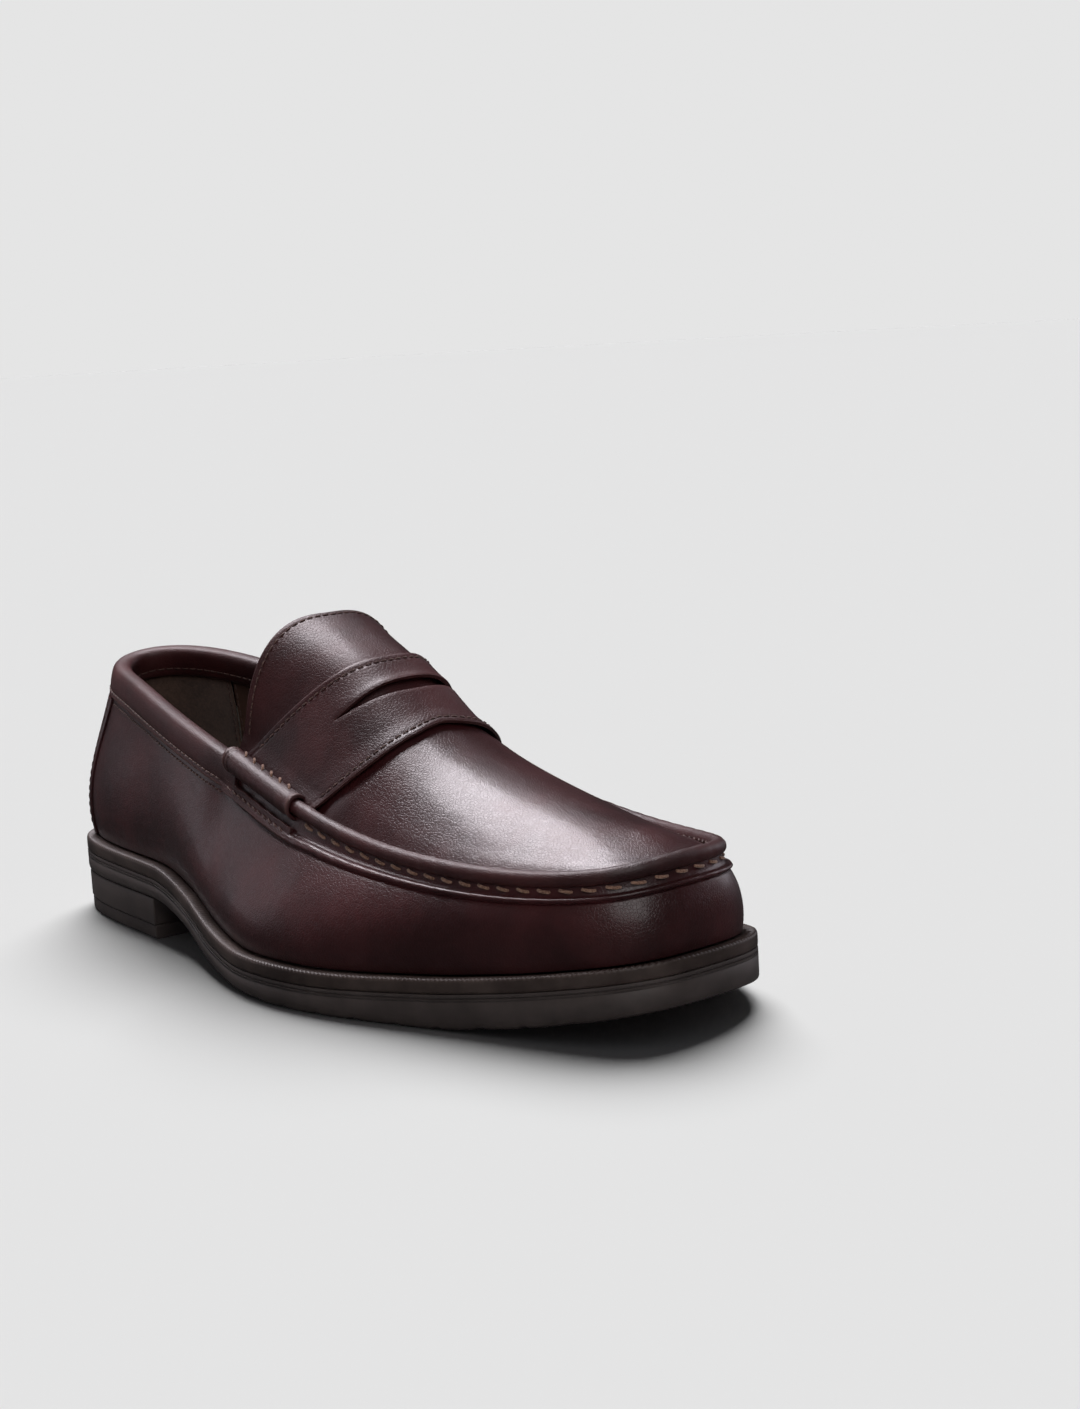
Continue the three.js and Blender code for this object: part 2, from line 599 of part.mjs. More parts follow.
// The saddle strap, with the lens-shaped slot across its middle.
function addSaddle() {
  const sides = across(17, 0.98);
  const slotHalf = 0.7;
  const slotOpening = 0.11;
  const slotRow = 2.92;
  const opening = (side) => slotOpening * Math.max(0, 1 - (side / slotHalf) ** 2);
  const rowsAt = (side) => [
    STRAP_BACK_ROW, 2.45, slotRow - opening(side), slotRow + opening(side), 3.5, STRAP_FRONT_ROW,
  ];
  const grid = (offset) => range(6, (i) =>
    sides.map((side) => instepOffset(rowsAt(side)[i], side, offset)));
  const isHole = (i, j) => i === 2 && opening(sides[j]) + opening(sides[j + 1]) > 0;
  addMesh("saddle_strap", plate(grid(GAP + STRAP_LEATHER), grid(GAP), isHole), OXBLOOD, 0.32);
}

function addSeam() {
  const strapLift = 0.12; // places between the strap's front edge and the start of the roll
  const [from, to] = [STRAP_FRONT + strapLift, PLACES - STRAP_FRONT - strapLift];
  const threadRadius = 0.3;
  const underRoll = [0.2, -ROLL_RADIUS - 0.65];
  addMesh("moc_roll", seamRod(from, to, 44, 8, () => ROLL_RADIUS), OXBLOOD, 0.32);
  addMesh("moc_stitching", seamRod(from, to, 44, 5, () => threadRadius, underRoll), THREAD_BROWN, 0.8);
  const waisted = (t) => BEEF_ROLL_RADIUS - 0.5 * Math.sin(Math.PI * t);
  const ends = { lateral: [STRAP_BACK, STRAP_FRONT], medial: [PLACES - STRAP_FRONT, PLACES - STRAP_BACK] };
  Object.entries(ends).forEach(([name, [back, front]]) => {
    addMesh(`beef_roll_${name}`, seamRod(back, front, 7, 12, waisted), OXBLOOD, 0.32);
  });
}

// The collar binding folds over the topline from one beef roll round the heel to the other.
function addBinding() {
  const outerPath = [
    [1.2, -10], [1.2, -5], [1.2, -1.9], [0.5, -0.6], [-2, 0], [-4.5, -0.6], [-5.1, -1.9], [-5.1, -9],
  ];
  const innerPath = [
    [0.3, -10], [0.3, -5], [0.3, -2], [0.1, -1.5], [-2, -1.1], [-4, -1.5], [-4.2, -2], [-4.2, -9],
  ];
  const steps = wallSteps(-STRAP_BACK, STRAP_BACK);
  steps[0] += 0.004;
  steps[steps.length - 1] -= 0.004;
  const grid = (path) => steps.map((u) => path.map(([a, b]) => collarPoint(u, a, b)));
  addMesh("collar_binding", plate(grid(outerPath), grid(innerPath)), OXBLOOD, 0.35);
}

function addBackStay() {
  const heights = spread(0, 0.84, 7);
  addMesh("back_stay", wallPatch(wallSteps(-2, 2), heights, GAP + 0.9, GAP), OXBLOOD, 0.35);
}

addSole();
addFootbed();
addHeelPad();
addVamp();
addLinings();
addApron();
addTongue();
addSaddle();
addSeam();
addBinding();
addBackStay();

export default shoe;
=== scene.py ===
"""Penny loafer, the wearer's right shoe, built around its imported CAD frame.

The shoe is described in millimetres: +Z up, ground at z = 0, toe along -Y, lateral side -X.
A place in plan is a station, the distance forward from the back of the heel. Positions round
the shoe are a share u from 0 to 1, from the heel back by the lateral side, or a place, which
is u times the number of control points. Meshes are made in metres.
"""

import math

import bmesh
import bpy
import numpy as np
from mathutils import Matrix, Vector


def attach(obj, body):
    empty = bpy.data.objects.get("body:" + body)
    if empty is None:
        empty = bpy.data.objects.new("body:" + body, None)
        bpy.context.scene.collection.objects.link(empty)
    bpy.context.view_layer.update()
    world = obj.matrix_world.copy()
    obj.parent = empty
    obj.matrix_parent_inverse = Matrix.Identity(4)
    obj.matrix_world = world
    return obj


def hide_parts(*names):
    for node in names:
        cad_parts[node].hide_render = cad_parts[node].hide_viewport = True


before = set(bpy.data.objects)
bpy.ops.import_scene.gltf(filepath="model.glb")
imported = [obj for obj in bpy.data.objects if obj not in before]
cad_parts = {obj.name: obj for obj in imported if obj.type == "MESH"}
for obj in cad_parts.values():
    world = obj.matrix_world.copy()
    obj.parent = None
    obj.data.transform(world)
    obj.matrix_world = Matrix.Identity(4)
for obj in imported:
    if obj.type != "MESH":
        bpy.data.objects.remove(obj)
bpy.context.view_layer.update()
scene = bpy.context.scene

MM = 0.001

# ---- Driving dimensions, the same as the CAD model's ----
LENGTH = 303
MIDLINE_X = 4.7
HEEL_LENGTH = 76.5
HEEL_HEIGHT = 14
TOP_LIFT = 4.6
WELT_WIDTH = 4.2
WELT_HEIGHT = 4.6
WELT_DEPTH = 12
UPPER_LEATHER = 1.4
STRAP_LEATHER = 1.4
TONGUE_LEATHER = 1.2
LINING_LEATHER = 0.9
LINING_OFFSET = 3.0
GAP = 0.3
WELD = 0.02  # points this close on a folded grid become one
ROLL_RADIUS = 2.1
BEEF_ROLL_RADIUS = 4.0
STRAP_BACK, STRAP_FRONT = 6, 7.1

SOLE_EDGE = [  # x, station
    [4, -1], [-11.5, 2], [-23, 13], [-29.5, 35.5], [-33.5, 64], [-38.5, 97], [-50.5, 130.5],
    [-61, 164], [-58.5, 199.5], [-47.5, 233], [-38.5, 264.5], [-29, 292], [-15, 304],
    [2.5, 302.5], [21, 299.5], [36.5, 288], [48, 263], [51.5, 233], [46, 198], [36.5, 163],
    [31.5, 130], [33, 97], [35.5, 65], [35.5, 36.5], [30, 13], [19.5, 2],
]
TOP_EDGE = [  # x, station, height
    [2, 14, 87], [-7, 18.5, 85.5], [-13, 28, 84], [-17.5, 43, 82.5], [-24, 64, 79.5],
    [-30.5, 95, 73], [-34, 127.5, 65.5], [-37.5, 164, 54.5], [-38, 197, 47], [-35.5, 231, 43.5],
    [-30, 262, 43], [-22, 285.5, 45], [-10.5, 293, 47], [3, 294, 48], [17, 291.5, 47.5],
    [25.5, 283.5, 46.5], [34, 262.5, 44.5], [38.5, 233.5, 45], [39, 198.5, 50], [37, 166.5, 57.5],
    [35, 133, 68.5], [32.5, 99.5, 76.5], [28.5, 66, 83], [24.5, 43, 86.5], [19, 27, 88],
    [11.5, 17, 88],
]
INSTEP_ROWS = [  # place on the seam, crest station, crest height
    [6, 136.5, 107.5], [6.02, 152, 100.8], [6.05, 165.5, 94.3], [6.5, 177.5, 85.5],
    [7.1, 190.5, 76], [8, 206, 69], [9, 231, 61.5], [10, 252, 57], [11, 266, 54.5],
    [12, 273, 53], [13, 275, 52.5],
]
PLACES = len(SOLE_EDGE)
TONGUE_ROW, STRAP_BACK_ROW, STRAP_FRONT_ROW, TOE_ROW = 0, 2, 4, 10
TONGUE_END_ROW, APRON_START_ROW = 3.1, 3.25


# ---- Curves ----
def closed_spline(points):
    """Closed uniform cubic B-spline over a parameter from 0 to 1, for arrays."""
    control = np.array(points, float)
    count = len(control)

    def curve(u):
        place = (np.asarray(u, float) % 1.0) * count
        index = np.floor(place).astype(int)
        t = (place - index)[..., None]
        weights = [(1 - t) ** 3, 3 * t**3 - 6 * t * t + 4, 1 + 3 * t + 3 * t * t - 3 * t**3, t**3]
        return sum(weights[k] * control[(index - 1 + k) % count] for k in range(4)) / 6

    return curve


def profile(pairs):
    """Smooth curve through (position, value) pairs that never overshoots them."""
    x, y = np.array(pairs, float).T
    slopes = np.diff(y) / np.diff(x)
    tangents = np.zeros(len(x))
    tangents[0], tangents[-1] = slopes[0], slopes[-1]
    for i in range(1, len(x) - 1):
        before, after = slopes[i - 1], slopes[i]
        if before * after > 0:
            tangents[i] = 2 * before * after / (before + after)

    def value(at):
        at = np.asarray(at, float)
        i = np.clip(np.searchsorted(x, at) - 1, 0, len(x) - 2)
        width = x[i + 1] - x[i]
        t = np.clip((at - x[i]) / width, 0, 1)
        rise = (y[i + 1] - y[i]) * t * t * (3 - 2 * t)
        return (y[i] + rise + tangents[i] * width * t * (1 - t) ** 2
                - tangents[i + 1] * width * t * t * (1 - t))

    return value


def unit(a):
    return a / np.maximum(np.linalg.norm(a, axis=-1, keepdims=True), 1e-12)


def smoothstep(low, high, x):
    t = np.clip((np.asarray(x, float) - low) / (high - low), 0, 1)
    return t * t * (3 - 2 * t)


def bump_at(x, centre, width):
    """A smooth bump of height 1 at centre."""
    return np.exp(-(((np.asarray(x, float) - centre) / width) ** 2))


def at_rim(distance):
    """1 at a sheet's edge, falling to 0 within a twentieth of a row."""
    return 1 - smoothstep(0, 0.05, distance)


def lens(side, half):
    """1 at the crest, falling to 0 at half to either side."""
    return np.maximum(0, 1 - (side / half) ** 2)


def sides_across(columns, reach=1):
    """Side positions in one row, closer together toward the edges."""
    side = np.linspace(-1, 1, columns)
    return (reach * np.sign(side) * np.abs(side) ** 0.8)[None, :]


UP = np.array([0, 0, 1.0])
sole_edge = closed_spline(SOLE_EDGE)
top_edge = closed_spline(TOP_EDGE)
outsole_bottom = profile([
    [0, HEEL_HEIGHT], [HEEL_LENGTH, HEEL_HEIGHT], [103, 10.5], [133, 4], [163, 0.8], [188, 0],
    [234, 0], [259, 2.2], [284, 6.2], [LENGTH, 10],
])
outsole_top = profile([
    [0, 21], [HEEL_LENGTH, 20.5], [104, 16.5], [134, 10.5], [164, 8], [189, 8], [234, 10],
    [259, 12.5], [284, 16], [LENGTH, 19],
])
seam_place, crest_station, crest_height = (
    profile([[row, values[k]] for row, values in enumerate(INSTEP_ROWS)]) for k in range(3))
fall_power = profile([
    [TONGUE_ROW, 3.4], [STRAP_BACK_ROW, 3.2], [STRAP_FRONT_ROW, 2.5], [7, 2], [TOE_ROW, 1.8],
])
sweep_power = profile([
    [TONGUE_ROW, 1.25], [STRAP_BACK_ROW, 3], [STRAP_FRONT_ROW, 3.5], [7, 2.2], [TOE_ROW, 1.5],
])
tongue_belly = profile([[TONGUE_ROW, 1.1], [STRAP_BACK_ROW, 0], [TOE_ROW, 0]])
wall_drop = profile([[0, 1.8], [5.5, 1.8], [6, 4.7], [7, 4.7], [7.5, 3.6], [13, 3.6]])
wall_set_out = profile([[0, 0], [6, 0], [7.5, 1], [13, 1]])
lip_share = profile([[0, 0], [6, 0], [6.5, 1], [13, 1]])
foot_lean = profile([[0, 14], [60, 12], [110, 24], [160, 24], [220, 20], [270, 12], [305, 10]])
top_lean = profile([[0, 16], [60, 8], [120, 6], [165, 30], [215, 56], [262, 52], [296, 34]])
seam_inset = profile([
    [6, BEEF_ROLL_RADIUS + GAP], [7, BEEF_ROLL_RADIUS + GAP], [7.5, ROLL_RADIUS + GAP],
    [13, ROLL_RADIUS + GAP],
])


def from_station(x, station, z):
    x, station, z = np.broadcast_arrays(x, station, z)
    return np.stack([x + MIDLINE_X, LENGTH / 2 - station, z], -1).astype(float)


def station_of(points):
    return LENGTH / 2 - points[..., 1]


def place_of(u):
    share = np.asarray(u, float) % 1
    return np.where(share <= 0.5, share, 1 - share) * PLACES


def outward(curve, u):
    """Outward plan normal of a curve round the shoe."""
    step = 0.002
    run = curve(u - step) - curve(u + step)
    return unit(np.stack([run[..., 1], run[..., 0], np.zeros_like(run[..., 0])], -1))


def feather(u, inset=WELT_WIDTH):
    """Point on top of the welt, inset from the sole's edge."""
    edge = sole_edge(u)
    point = from_station(edge[..., 0], edge[..., 1], 0)
    point = point - outward(sole_edge, u) * np.asarray(inset)[..., None]
    point[..., 2] = outsole_top(station_of(point)) + WELT_HEIGHT
    return point


def seam(u):
    point = top_edge(u)
    return from_station(point[..., 0], point[..., 1], point[..., 2])


# ---- The wall of the upper ----
def wall(u, v):
    """The upper's outer face: u round the shoe, v from the welt at 0 to the seam at 1."""
    u, v = np.broadcast_arrays(np.asarray(u, float), np.asarray(v, float))
    out = outward(sole_edge, u)
    foot = feather(u)
    foot[..., 2] += GAP
    top = seam(u)
    arrive_station = station_of(top)
    top = top + out * wall_set_out(place_of(u))[..., None]
    top[..., 2] -= wall_drop(place_of(u))
    height = (top[..., 2] - foot[..., 2])[..., None] * 1.1
    a = np.radians(foot_lean(station_of(foot)))[..., None]
    b = np.radians(top_lean(arrive_station))[..., None]
    leave = (UP * np.cos(a) + out * np.sin(a)) * height
    arrive = (UP * np.cos(b) - out * np.sin(b)) * height
    v = v[..., None]
    return ((2 * v**3 - 3 * v * v + 1) * foot + (v**3 - 2 * v * v + v) * leave
            + (3 * v * v - 2 * v**3) * top + (v**3 - v * v) * arrive)


def wall_normal(u, v):
    along = wall(u + 0.004, v) - wall(u - 0.004, v)
    rise = wall(u, np.minimum(1, v + 0.02)) - wall(u, np.maximum(0, v - 0.02))
    return unit(np.cross(along, rise))


def wall_offset(u, v, distance):
    u, v, distance = np.broadcast_arrays(u, v, distance)
    return wall(u, v) + wall_normal(u, v) * distance[..., None]


def collar(u, a, b):
    """A point at the collar: a outward from the wall, b up from the topline."""
    u, a, b = np.broadcast_arrays(np.asarray(u, float), a, b)
    above = b + wall_drop(place_of(u))
    height = np.linalg.norm(wall(u, 1.0) - wall(u, 0.0), axis=-1)
    v = np.minimum(1, 1 + above / height)
    rise = unit(wall(u, 1.0) - wall(u, 0.98))
    return wall_offset(u, v, a) + rise * np.maximum(0, above)[..., None]


# ---- The instep: the arched surface of apron, tongue and strap ----
def seam_share(row, side):
    share = seam_place(row) / PLACES
    return np.where(np.asarray(side) < 0, share, 1 - share)


def instep_edge(row, side):
    u = seam_share(row, side)
    edge = seam(u) - outward(top_edge, u) * seam_inset(seam_place(row))[..., None]
    edge[..., 2] -= 0.4
    return edge


def instep(row, side):
    """row runs from the tongue's free edge to the toe, side from -1 lateral to 1 medial."""
    row, side = np.broadcast_arrays(np.asarray(row, float), np.asarray(side, float))
    edge = instep_edge(row, side)
    ones = np.ones(row.shape)
    middle = (instep_edge(row, -ones)[..., 0] + instep_edge(row, ones)[..., 0]) / 2
    t = np.abs(side)
    y, z = LENGTH / 2 - crest_station(row), crest_height(row)
    return np.stack([
        middle + (edge[..., 0] - middle) * (t + tongue_belly(row) * t ** 3 * (1 - t)),
        y + (edge[..., 1] - y) * t ** sweep_power(row),
        z + (edge[..., 2] - z) * t ** fall_power(row),
    ], -1)


def instep_normal(row, side):
    step = 0.03
    row, side = np.broadcast_arrays(np.asarray(row, float), np.asarray(side, float))
    across = instep(row, np.minimum(1, side + step)) - instep(row, np.maximum(-1, side - step))
    ahead, behind = np.minimum(TOE_ROW, row + step), np.maximum(0, row - step)
    forward = instep(ahead, side) - instep(behind, side)
    return unit(np.cross(forward, across))


def instep_offset(row, side, distance):
    row, side, distance = np.broadcast_arrays(row, side, distance)
    return instep(row, side) + instep_normal(row, side) * distance[..., None]


# ---- Meshes ----
def face_outward(mesh, merge):
    """Turns all faces outward, once points within the merge distance are joined."""
    draft = bmesh.new()
    draft.from_mesh(mesh)
    if merge:
        bmesh.ops.remove_doubles(draft, verts=draft.verts, dist=merge * MM)
    bmesh.ops.recalc_face_normals(draft, faces=draft.faces)
    draft.to_mesh(mesh)
    draft.free()


def finish_object(name, points, faces, material, slot, replaces=(), sharp=50, wear_and_highlight=None, merge=0):
    """Makes one piece from points in millimetres, and ties it to the frame.

    Points closer than merge are joined; with None the faces stay as they are given.
    """
    mesh = bpy.data.meshes.new(name)
    mesh.from_pydata((np.asarray(points) * MM).tolist(), [], faces)
    mesh.validate()
    if wear_and_highlight is not None:
        layer = mesh.attributes.new("wear_and_highlight", "FLOAT", "POINT")
        layer.data.foreach_set("value", np.asarray(wear_and_highlight, np.float32))
    mesh.polygons.foreach_set("use_smooth", np.ones(len(mesh.polygons), bool))
    mesh.set_sharp_from_angle(angle=math.radians(sharp))
    mesh.materials.append(material)
    piece = bpy.data.objects.new(name, mesh)
    scene.collection.objects.link(piece)
    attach(piece, "root")
    if replaces:
        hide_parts(*replaces)
    if merge is not None:
        face_outward(mesh, merge)
    return piece


def grid_faces(rows, columns, offset=0, closed_rows=False, closed_columns=False, keep=None):
    """Quads of a grid whose points are numbered row by row."""
    faces = []
    for i in range(rows if closed_rows else rows - 1):
        for j in range(columns if closed_columns else columns - 1):
            if keep is not None and not keep(i, j):
                continue
            i2, j2 = (i + 1) % rows, (j + 1) % columns
            faces.append((offset + i * columns + j, offset + i2 * columns + j,
                          offset + i2 * columns + j2, offset + i * columns + j2))
    return faces


def shell(outer, inner, keep=None):
    """Points and faces of a sheet with thickness: two matching grids joined at their rims."""
    rows, columns = outer.shape[:2]
    top = grid_faces(rows, columns, keep=keep)
    count = rows * columns
    bottom = [tuple(count + k for k in reversed(face)) for face in top]
    edges = dict.fromkeys(edge for face in top for edge in zip(face, face[1:] + face[:1]))
    rims = [(b, a, count + a, count + b) for a, b in edges if (b, a) not in edges]
    points = np.concatenate([outer.reshape(-1, 3), inner.reshape(-1, 3)])
    return points, top + bottom + rims


def round_edges(piece, width, segments=2, angle=40):
    bevel = piece.modifiers.new("edge", "BEVEL")
    bevel.width = width * MM
    bevel.segments = segments
    bevel.limit_method = "ANGLE"
    bevel.angle_limit = math.radians(angle)
    bevel.harden_normals = False


def swept(sections):
    """Points and faces of a closed section carried along a path: sections is (steps, sides, 3)."""
    steps, sides = sections.shape[:2]
    last = (steps - 1) * sides
    faces = grid_faces(steps, sides, closed_columns=True)
    faces += [tuple(range(sides)), tuple(last + k for k in reversed(range(sides)))]
    return sections.reshape(-1, 3), faces


def arc_lengths(points):
    return np.concatenate([[0], np.cumsum(np.linalg.norm(np.diff(points, axis=0), axis=1))])


def resample(points, at, values=None):
    """The points, or values that go with them, at distances along the line."""
    values = points if values is None else values
    length = arc_lengths(points)
    return np.stack([np.interp(at, length, values[:, k]) for k in range(values.shape[1])], -1)


def stitches(name, points, normals, pitch, length, radius, material, slant=0.0, lift=0.0):
    """A row of separate thread stitches along a path, each dipping into the leather at its ends."""
    first, last = pitch, arc_lengths(points)[-1] - pitch
    count = max(1, int(round((last - first) / pitch)) + 1)
    sides = 6
    heights = np.array([-1.1, 0.1, 0.75, 0.95, 0.75, 0.1, -1.1]) * radius + lift
    spots = np.array([-0.5, -0.46, -0.26, 0, 0.26, 0.46, 0.5])
    swell = np.array([0.55, 0.9, 1, 1, 1, 0.9, 0.55])
    all_points, all_faces = [], []
    for middle in np.linspace(first, last, count):
        at = middle + spots * length
        path, normal = resample(points, at), unit(resample(points, at, normals))
        tangent = unit(np.gradient(path, axis=0))
        across = unit(np.cross(tangent, normal))
        path = path + normal * heights[:, None] + across * (spots * 2 * slant)[:, None]
        tangent = unit(np.gradient(path, axis=0))
        across = unit(np.cross(tangent, normal))
        rise = np.cross(across, tangent)
        turn = np.linspace(0, 2 * math.pi, sides, endpoint=False)
        ring = (across[:, None] * np.cos(turn)[None, :, None]
                + rise[:, None] * np.sin(turn)[None, :, None]) * (radius * swell)[:, None, None]
        pts, faces = swept(path[:, None] + ring)
        base = len(all_points) * len(pts)
        all_points.append(pts)
        all_faces += [tuple(base + i for i in face) for face in faces]
    return finish_object(name, np.concatenate(all_points), all_faces, material, "thread")


# ---- Materials ----
class Painter:
    """Builds one procedural material, in object coordinates, which are the frame's metres."""

    def __init__(self, name, roughness=0.5, metallic=0.0):
        self.material = bpy.data.materials.new(name)
        self.material.use_nodes = True
        self.tree = self.material.node_tree
        self.shader = self.tree.nodes["Principled BSDF"]
        self.fill(self.shader, {"Roughness": roughness, "Metallic": metallic})
        self.object = self.node("ShaderNodeTexCoord", {}).outputs["Object"]

    def node(self, kind, inputs, **properties):
        node = self.tree.nodes.new(kind)
        for key, value in properties.items():
            setattr(node, key, value)
        return self.fill(node, inputs)

    def fill(self, node, inputs):
        """Gives each named input a value or another node's output."""
        for key, value in inputs.items():
            if hasattr(value, "is_output"):
                self.tree.links.new(value, node.inputs[key])
            else:
                node.inputs[key].default_value = value
        return node

    def stretched(self, scale):
        inputs = {"Vector": self.object, "Scale": scale}
        return self.node("ShaderNodeMapping", inputs).outputs["Vector"]

    def noise(self, scale, detail=4.0, roughness=0.55, vector=None, distortion=0.0):
        return self.node("ShaderNodeTexNoise", {
            "Vector": vector or self.object, "Scale": scale, "Detail": detail,
            "Roughness": roughness, "Distortion": distortion,
        }).outputs["Fac"]

    def cells(self, scale, feature="DISTANCE_TO_EDGE"):
        inputs = {"Vector": self.object, "Scale": scale}
        return self.node("ShaderNodeTexVoronoi", inputs, feature=feature).outputs["Distance"]

    def remap(self, value, low, high, to_low=0.0, to_high=1.0):
        return self.node("ShaderNodeMapRange", {
            "Value": value, "From Min": low, "From Max": high, "To Min": to_low, "To Max": to_high,
        }).outputs["Result"]

    def maths(self, operation, a, b):
        return self.node("ShaderNodeMath", {0: a, 1: b}, operation=operation).outputs["Value"]

    def mix(self, factor, *colors):
        a, b = (c if hasattr(c, "is_output") else (*c, 1.0) for c in colors)
        inputs = {0: factor, 6: a, 7: b}
        return self.node("ShaderNodeMix", inputs, data_type="RGBA").outputs[2]

    def attribute(self, name):
        return self.node("ShaderNodeAttribute", {}, attribute_name=name).outputs["Fac"]

    def bump(self, height, depth_mm, strength=1.0, under=None):
        inputs = {"Height": height, "Distance": depth_mm * MM, "Strength": strength}
        if under is not None:
            inputs["Normal"] = under
        return self.node("ShaderNodeBump", inputs).outputs["Normal"]

    def finish(self, inputs):
        self.fill(self.shader, inputs)
        return self.material


def leather(name, dark, mid, roughness, grain_mm=0.9, grain_depth=0.05, coat=0.35, edge=None):
    """Polished leather: mottled dye, pebbled grain, and lighter edges: rubbed cut edges, and on the
    strap-end tabs a painted highlight along the top edge.
    """
    p = Painter(name)
    mottle = p.remap(p.noise(38, 3, 0.5), 0.35, 0.68)
    fine = p.remap(p.noise(420, 5, 0.6), 0.3, 0.75)
    color = p.mix(p.maths("MULTIPLY", mottle, 0.9), dark, mid)
    color = p.mix(p.maths("MULTIPLY", fine, 0.16), color, tuple(c * 0.45 for c in mid))
    # Edges painted lighter: rubbed cut edges, and on the strap-end tabs a painted highlight.
    if edge is not None:
        color = p.mix(p.maths("MULTIPLY", p.attribute("wear_and_highlight"), 0.85), color, edge)
    warp = p.noise(260, 2, 0.5)
    pebbles = p.remap(p.cells(1000 / grain_mm), 0.0, 0.16)
    creases = p.remap(p.noise(150, 6, 0.65, distortion=0.6), 0.3, 0.7)
    normal = p.bump(pebbles, grain_depth, 0.7)
    normal = p.bump(creases, grain_depth * 1.6, 0.35, normal)
    normal = p.bump(warp, 0.25, 0.35, normal)
    gloss = p.maths("ADD", p.remap(mottle, 0, 1, roughness - 0.03, roughness + 0.05),
                    p.remap(fine, 0, 1, -0.03, 0.04))
    smooth = p.bump(warp, 0.22, 0.3)
    return p.finish({
        "Base Color": color, "Roughness": gloss, "Normal": normal, "Coat Weight": coat,
        "Coat Roughness": 0.22, "Coat Normal": smooth, "Specular IOR Level": 0.5,
    })


def suede(name, dark, mid):
    p = Painter(name, 0.95)
    nap = p.noise(900, 6, 0.7)
    patches = p.remap(p.noise(90, 4, 0.6), 0.35, 0.7)
    color = p.mix(patches, dark, mid)
    color = p.mix(p.remap(nap, 0.35, 0.7, 0.0, 0.5), color, tuple(c * 1.7 for c in mid))
    return p.finish({
        "Base Color": color, "Normal": p.bump(nap, 0.3, 0.6), "Sheen Weight": 0.35,
        "Sheen Roughness": 0.5, "Specular IOR Level": 0.2,
    })


def rubber(name, dark, mid, roughness=0.55):
    p = Painter(name)
    dust = p.remap(p.noise(55, 5, 0.6), 0.35, 0.75)
    fine = p.noise(1400, 4, 0.6)
    color = p.mix(dust, dark, mid)
    normal = p.bump(fine, 0.05, 0.5)
    normal = p.bump(p.noise(120, 3, 0.5), 0.12, 0.25, normal)
    gloss = p.remap(dust, 0, 1, roughness - 0.06, roughness + 0.1)
    return p.finish({
        "Base Color": color, "Roughness": gloss, "Normal": normal, "Specular IOR Level": 0.45,
    })


def thread(name, dark, light):
    p = Painter(name, 0.7)
    strands = p.noise(2600, 2, 0.5, p.stretched((1, 0.45, 1)))
    color = p.mix(p.remap(strands, 0.35, 0.65), dark, light)
    return p.finish({
        "Base Color": color, "Normal": p.bump(strands, 0.12, 0.8), "Specular IOR Level": 0.3,
        "Sheen Weight": 0.2,
    })


def granular(name, dark, light, scale, roughness=0.9, metallic=0.0, depth=0.2):
    p = Painter(name, roughness, metallic)
    grains = p.cells(scale, "F1")
    cloud = p.noise(scale * 0.2, 4, 0.6)
    color = p.mix(p.remap(grains, 0.1, 0.7), dark, light)
    color = p.mix(p.remap(cloud, 0.35, 0.7, 0.0, 0.4), color, tuple(c * 0.7 for c in light))
    return p.finish({"Base Color": color, "Normal": p.bump(grains, depth, 0.5)})


UPPER = leather("oxblood_leather", (0.026, 0.0050, 0.0057), (0.060, 0.0102, 0.0115), 0.38, 0.95,
                0.055, 0.22)
# The trim's lighter edge colour is rubbed cut edges, and on the strap-end tabs a painted highlight.
TRIM = leather("oxblood_trim", (0.024, 0.0050, 0.0055), (0.066, 0.0125, 0.0130), 0.48, 0.75,
               0.06, 0.07, (0.13, 0.060, 0.052))
STRAP = leather("oxblood_strap", (0.021, 0.0046, 0.0052), (0.060, 0.0118, 0.0130), 0.46, 1.05,
                0.06, 0.08, (0.12, 0.052, 0.045))
LINING = leather("lining_leather", (0.065, 0.034, 0.024), (0.130, 0.074, 0.052), 0.62, 0.8,
                 0.04, 0.0)
GRIP = suede("grip_suede", (0.046, 0.026, 0.019), (0.105, 0.064, 0.046))
RUBBER = rubber("sole_rubber", (0.039, 0.030, 0.028), (0.074, 0.058, 0.054))
WELT = rubber("welt_leather", (0.026, 0.016, 0.0135), (0.075, 0.052, 0.044), 0.5)
MOC_THREAD = thread("moc_thread", (0.12, 0.058, 0.038), (0.30, 0.175, 0.122))
DARK_THREAD = thread("dark_thread", (0.036, 0.016, 0.013), (0.13, 0.070, 0.056))
CORK = granular("cork", (0.30, 0.17, 0.08), (0.55, 0.36, 0.19), 420)
BOARD = granular("fibreboard", (0.26, 0.17, 0.09), (0.42, 0.30, 0.17), 1500, depth=0.08)
STIFFENER = granular("stiffener_sheet", (0.20, 0.18, 0.15), (0.33, 0.30, 0.26), 900, depth=0.05)
STEEL = granular("spring_steel", (0.42, 0.42, 0.44), (0.62, 0.62, 0.64), 1800, 0.35, 1.0, 0.03)


# ---- Sole ----
def around(count):
    return np.arange(count) / count


def ring_levels(u, levels, lower, upper, ripple=None):
    """Loops round the sole. A level is (inset, edge, height): height above lower or below upper."""
    loops = []
    for inset, edge, height in levels:
        points = feather(u, np.full_like(u, inset))
        station = station_of(points)
        points[..., 2] = lower(station) + height if edge == "low" else upper(station) - height
        if ripple is not None:
            points[..., 2] += ripple(points, inset, edge, height)
        loops.append(points)
    return np.stack(loops, 1)


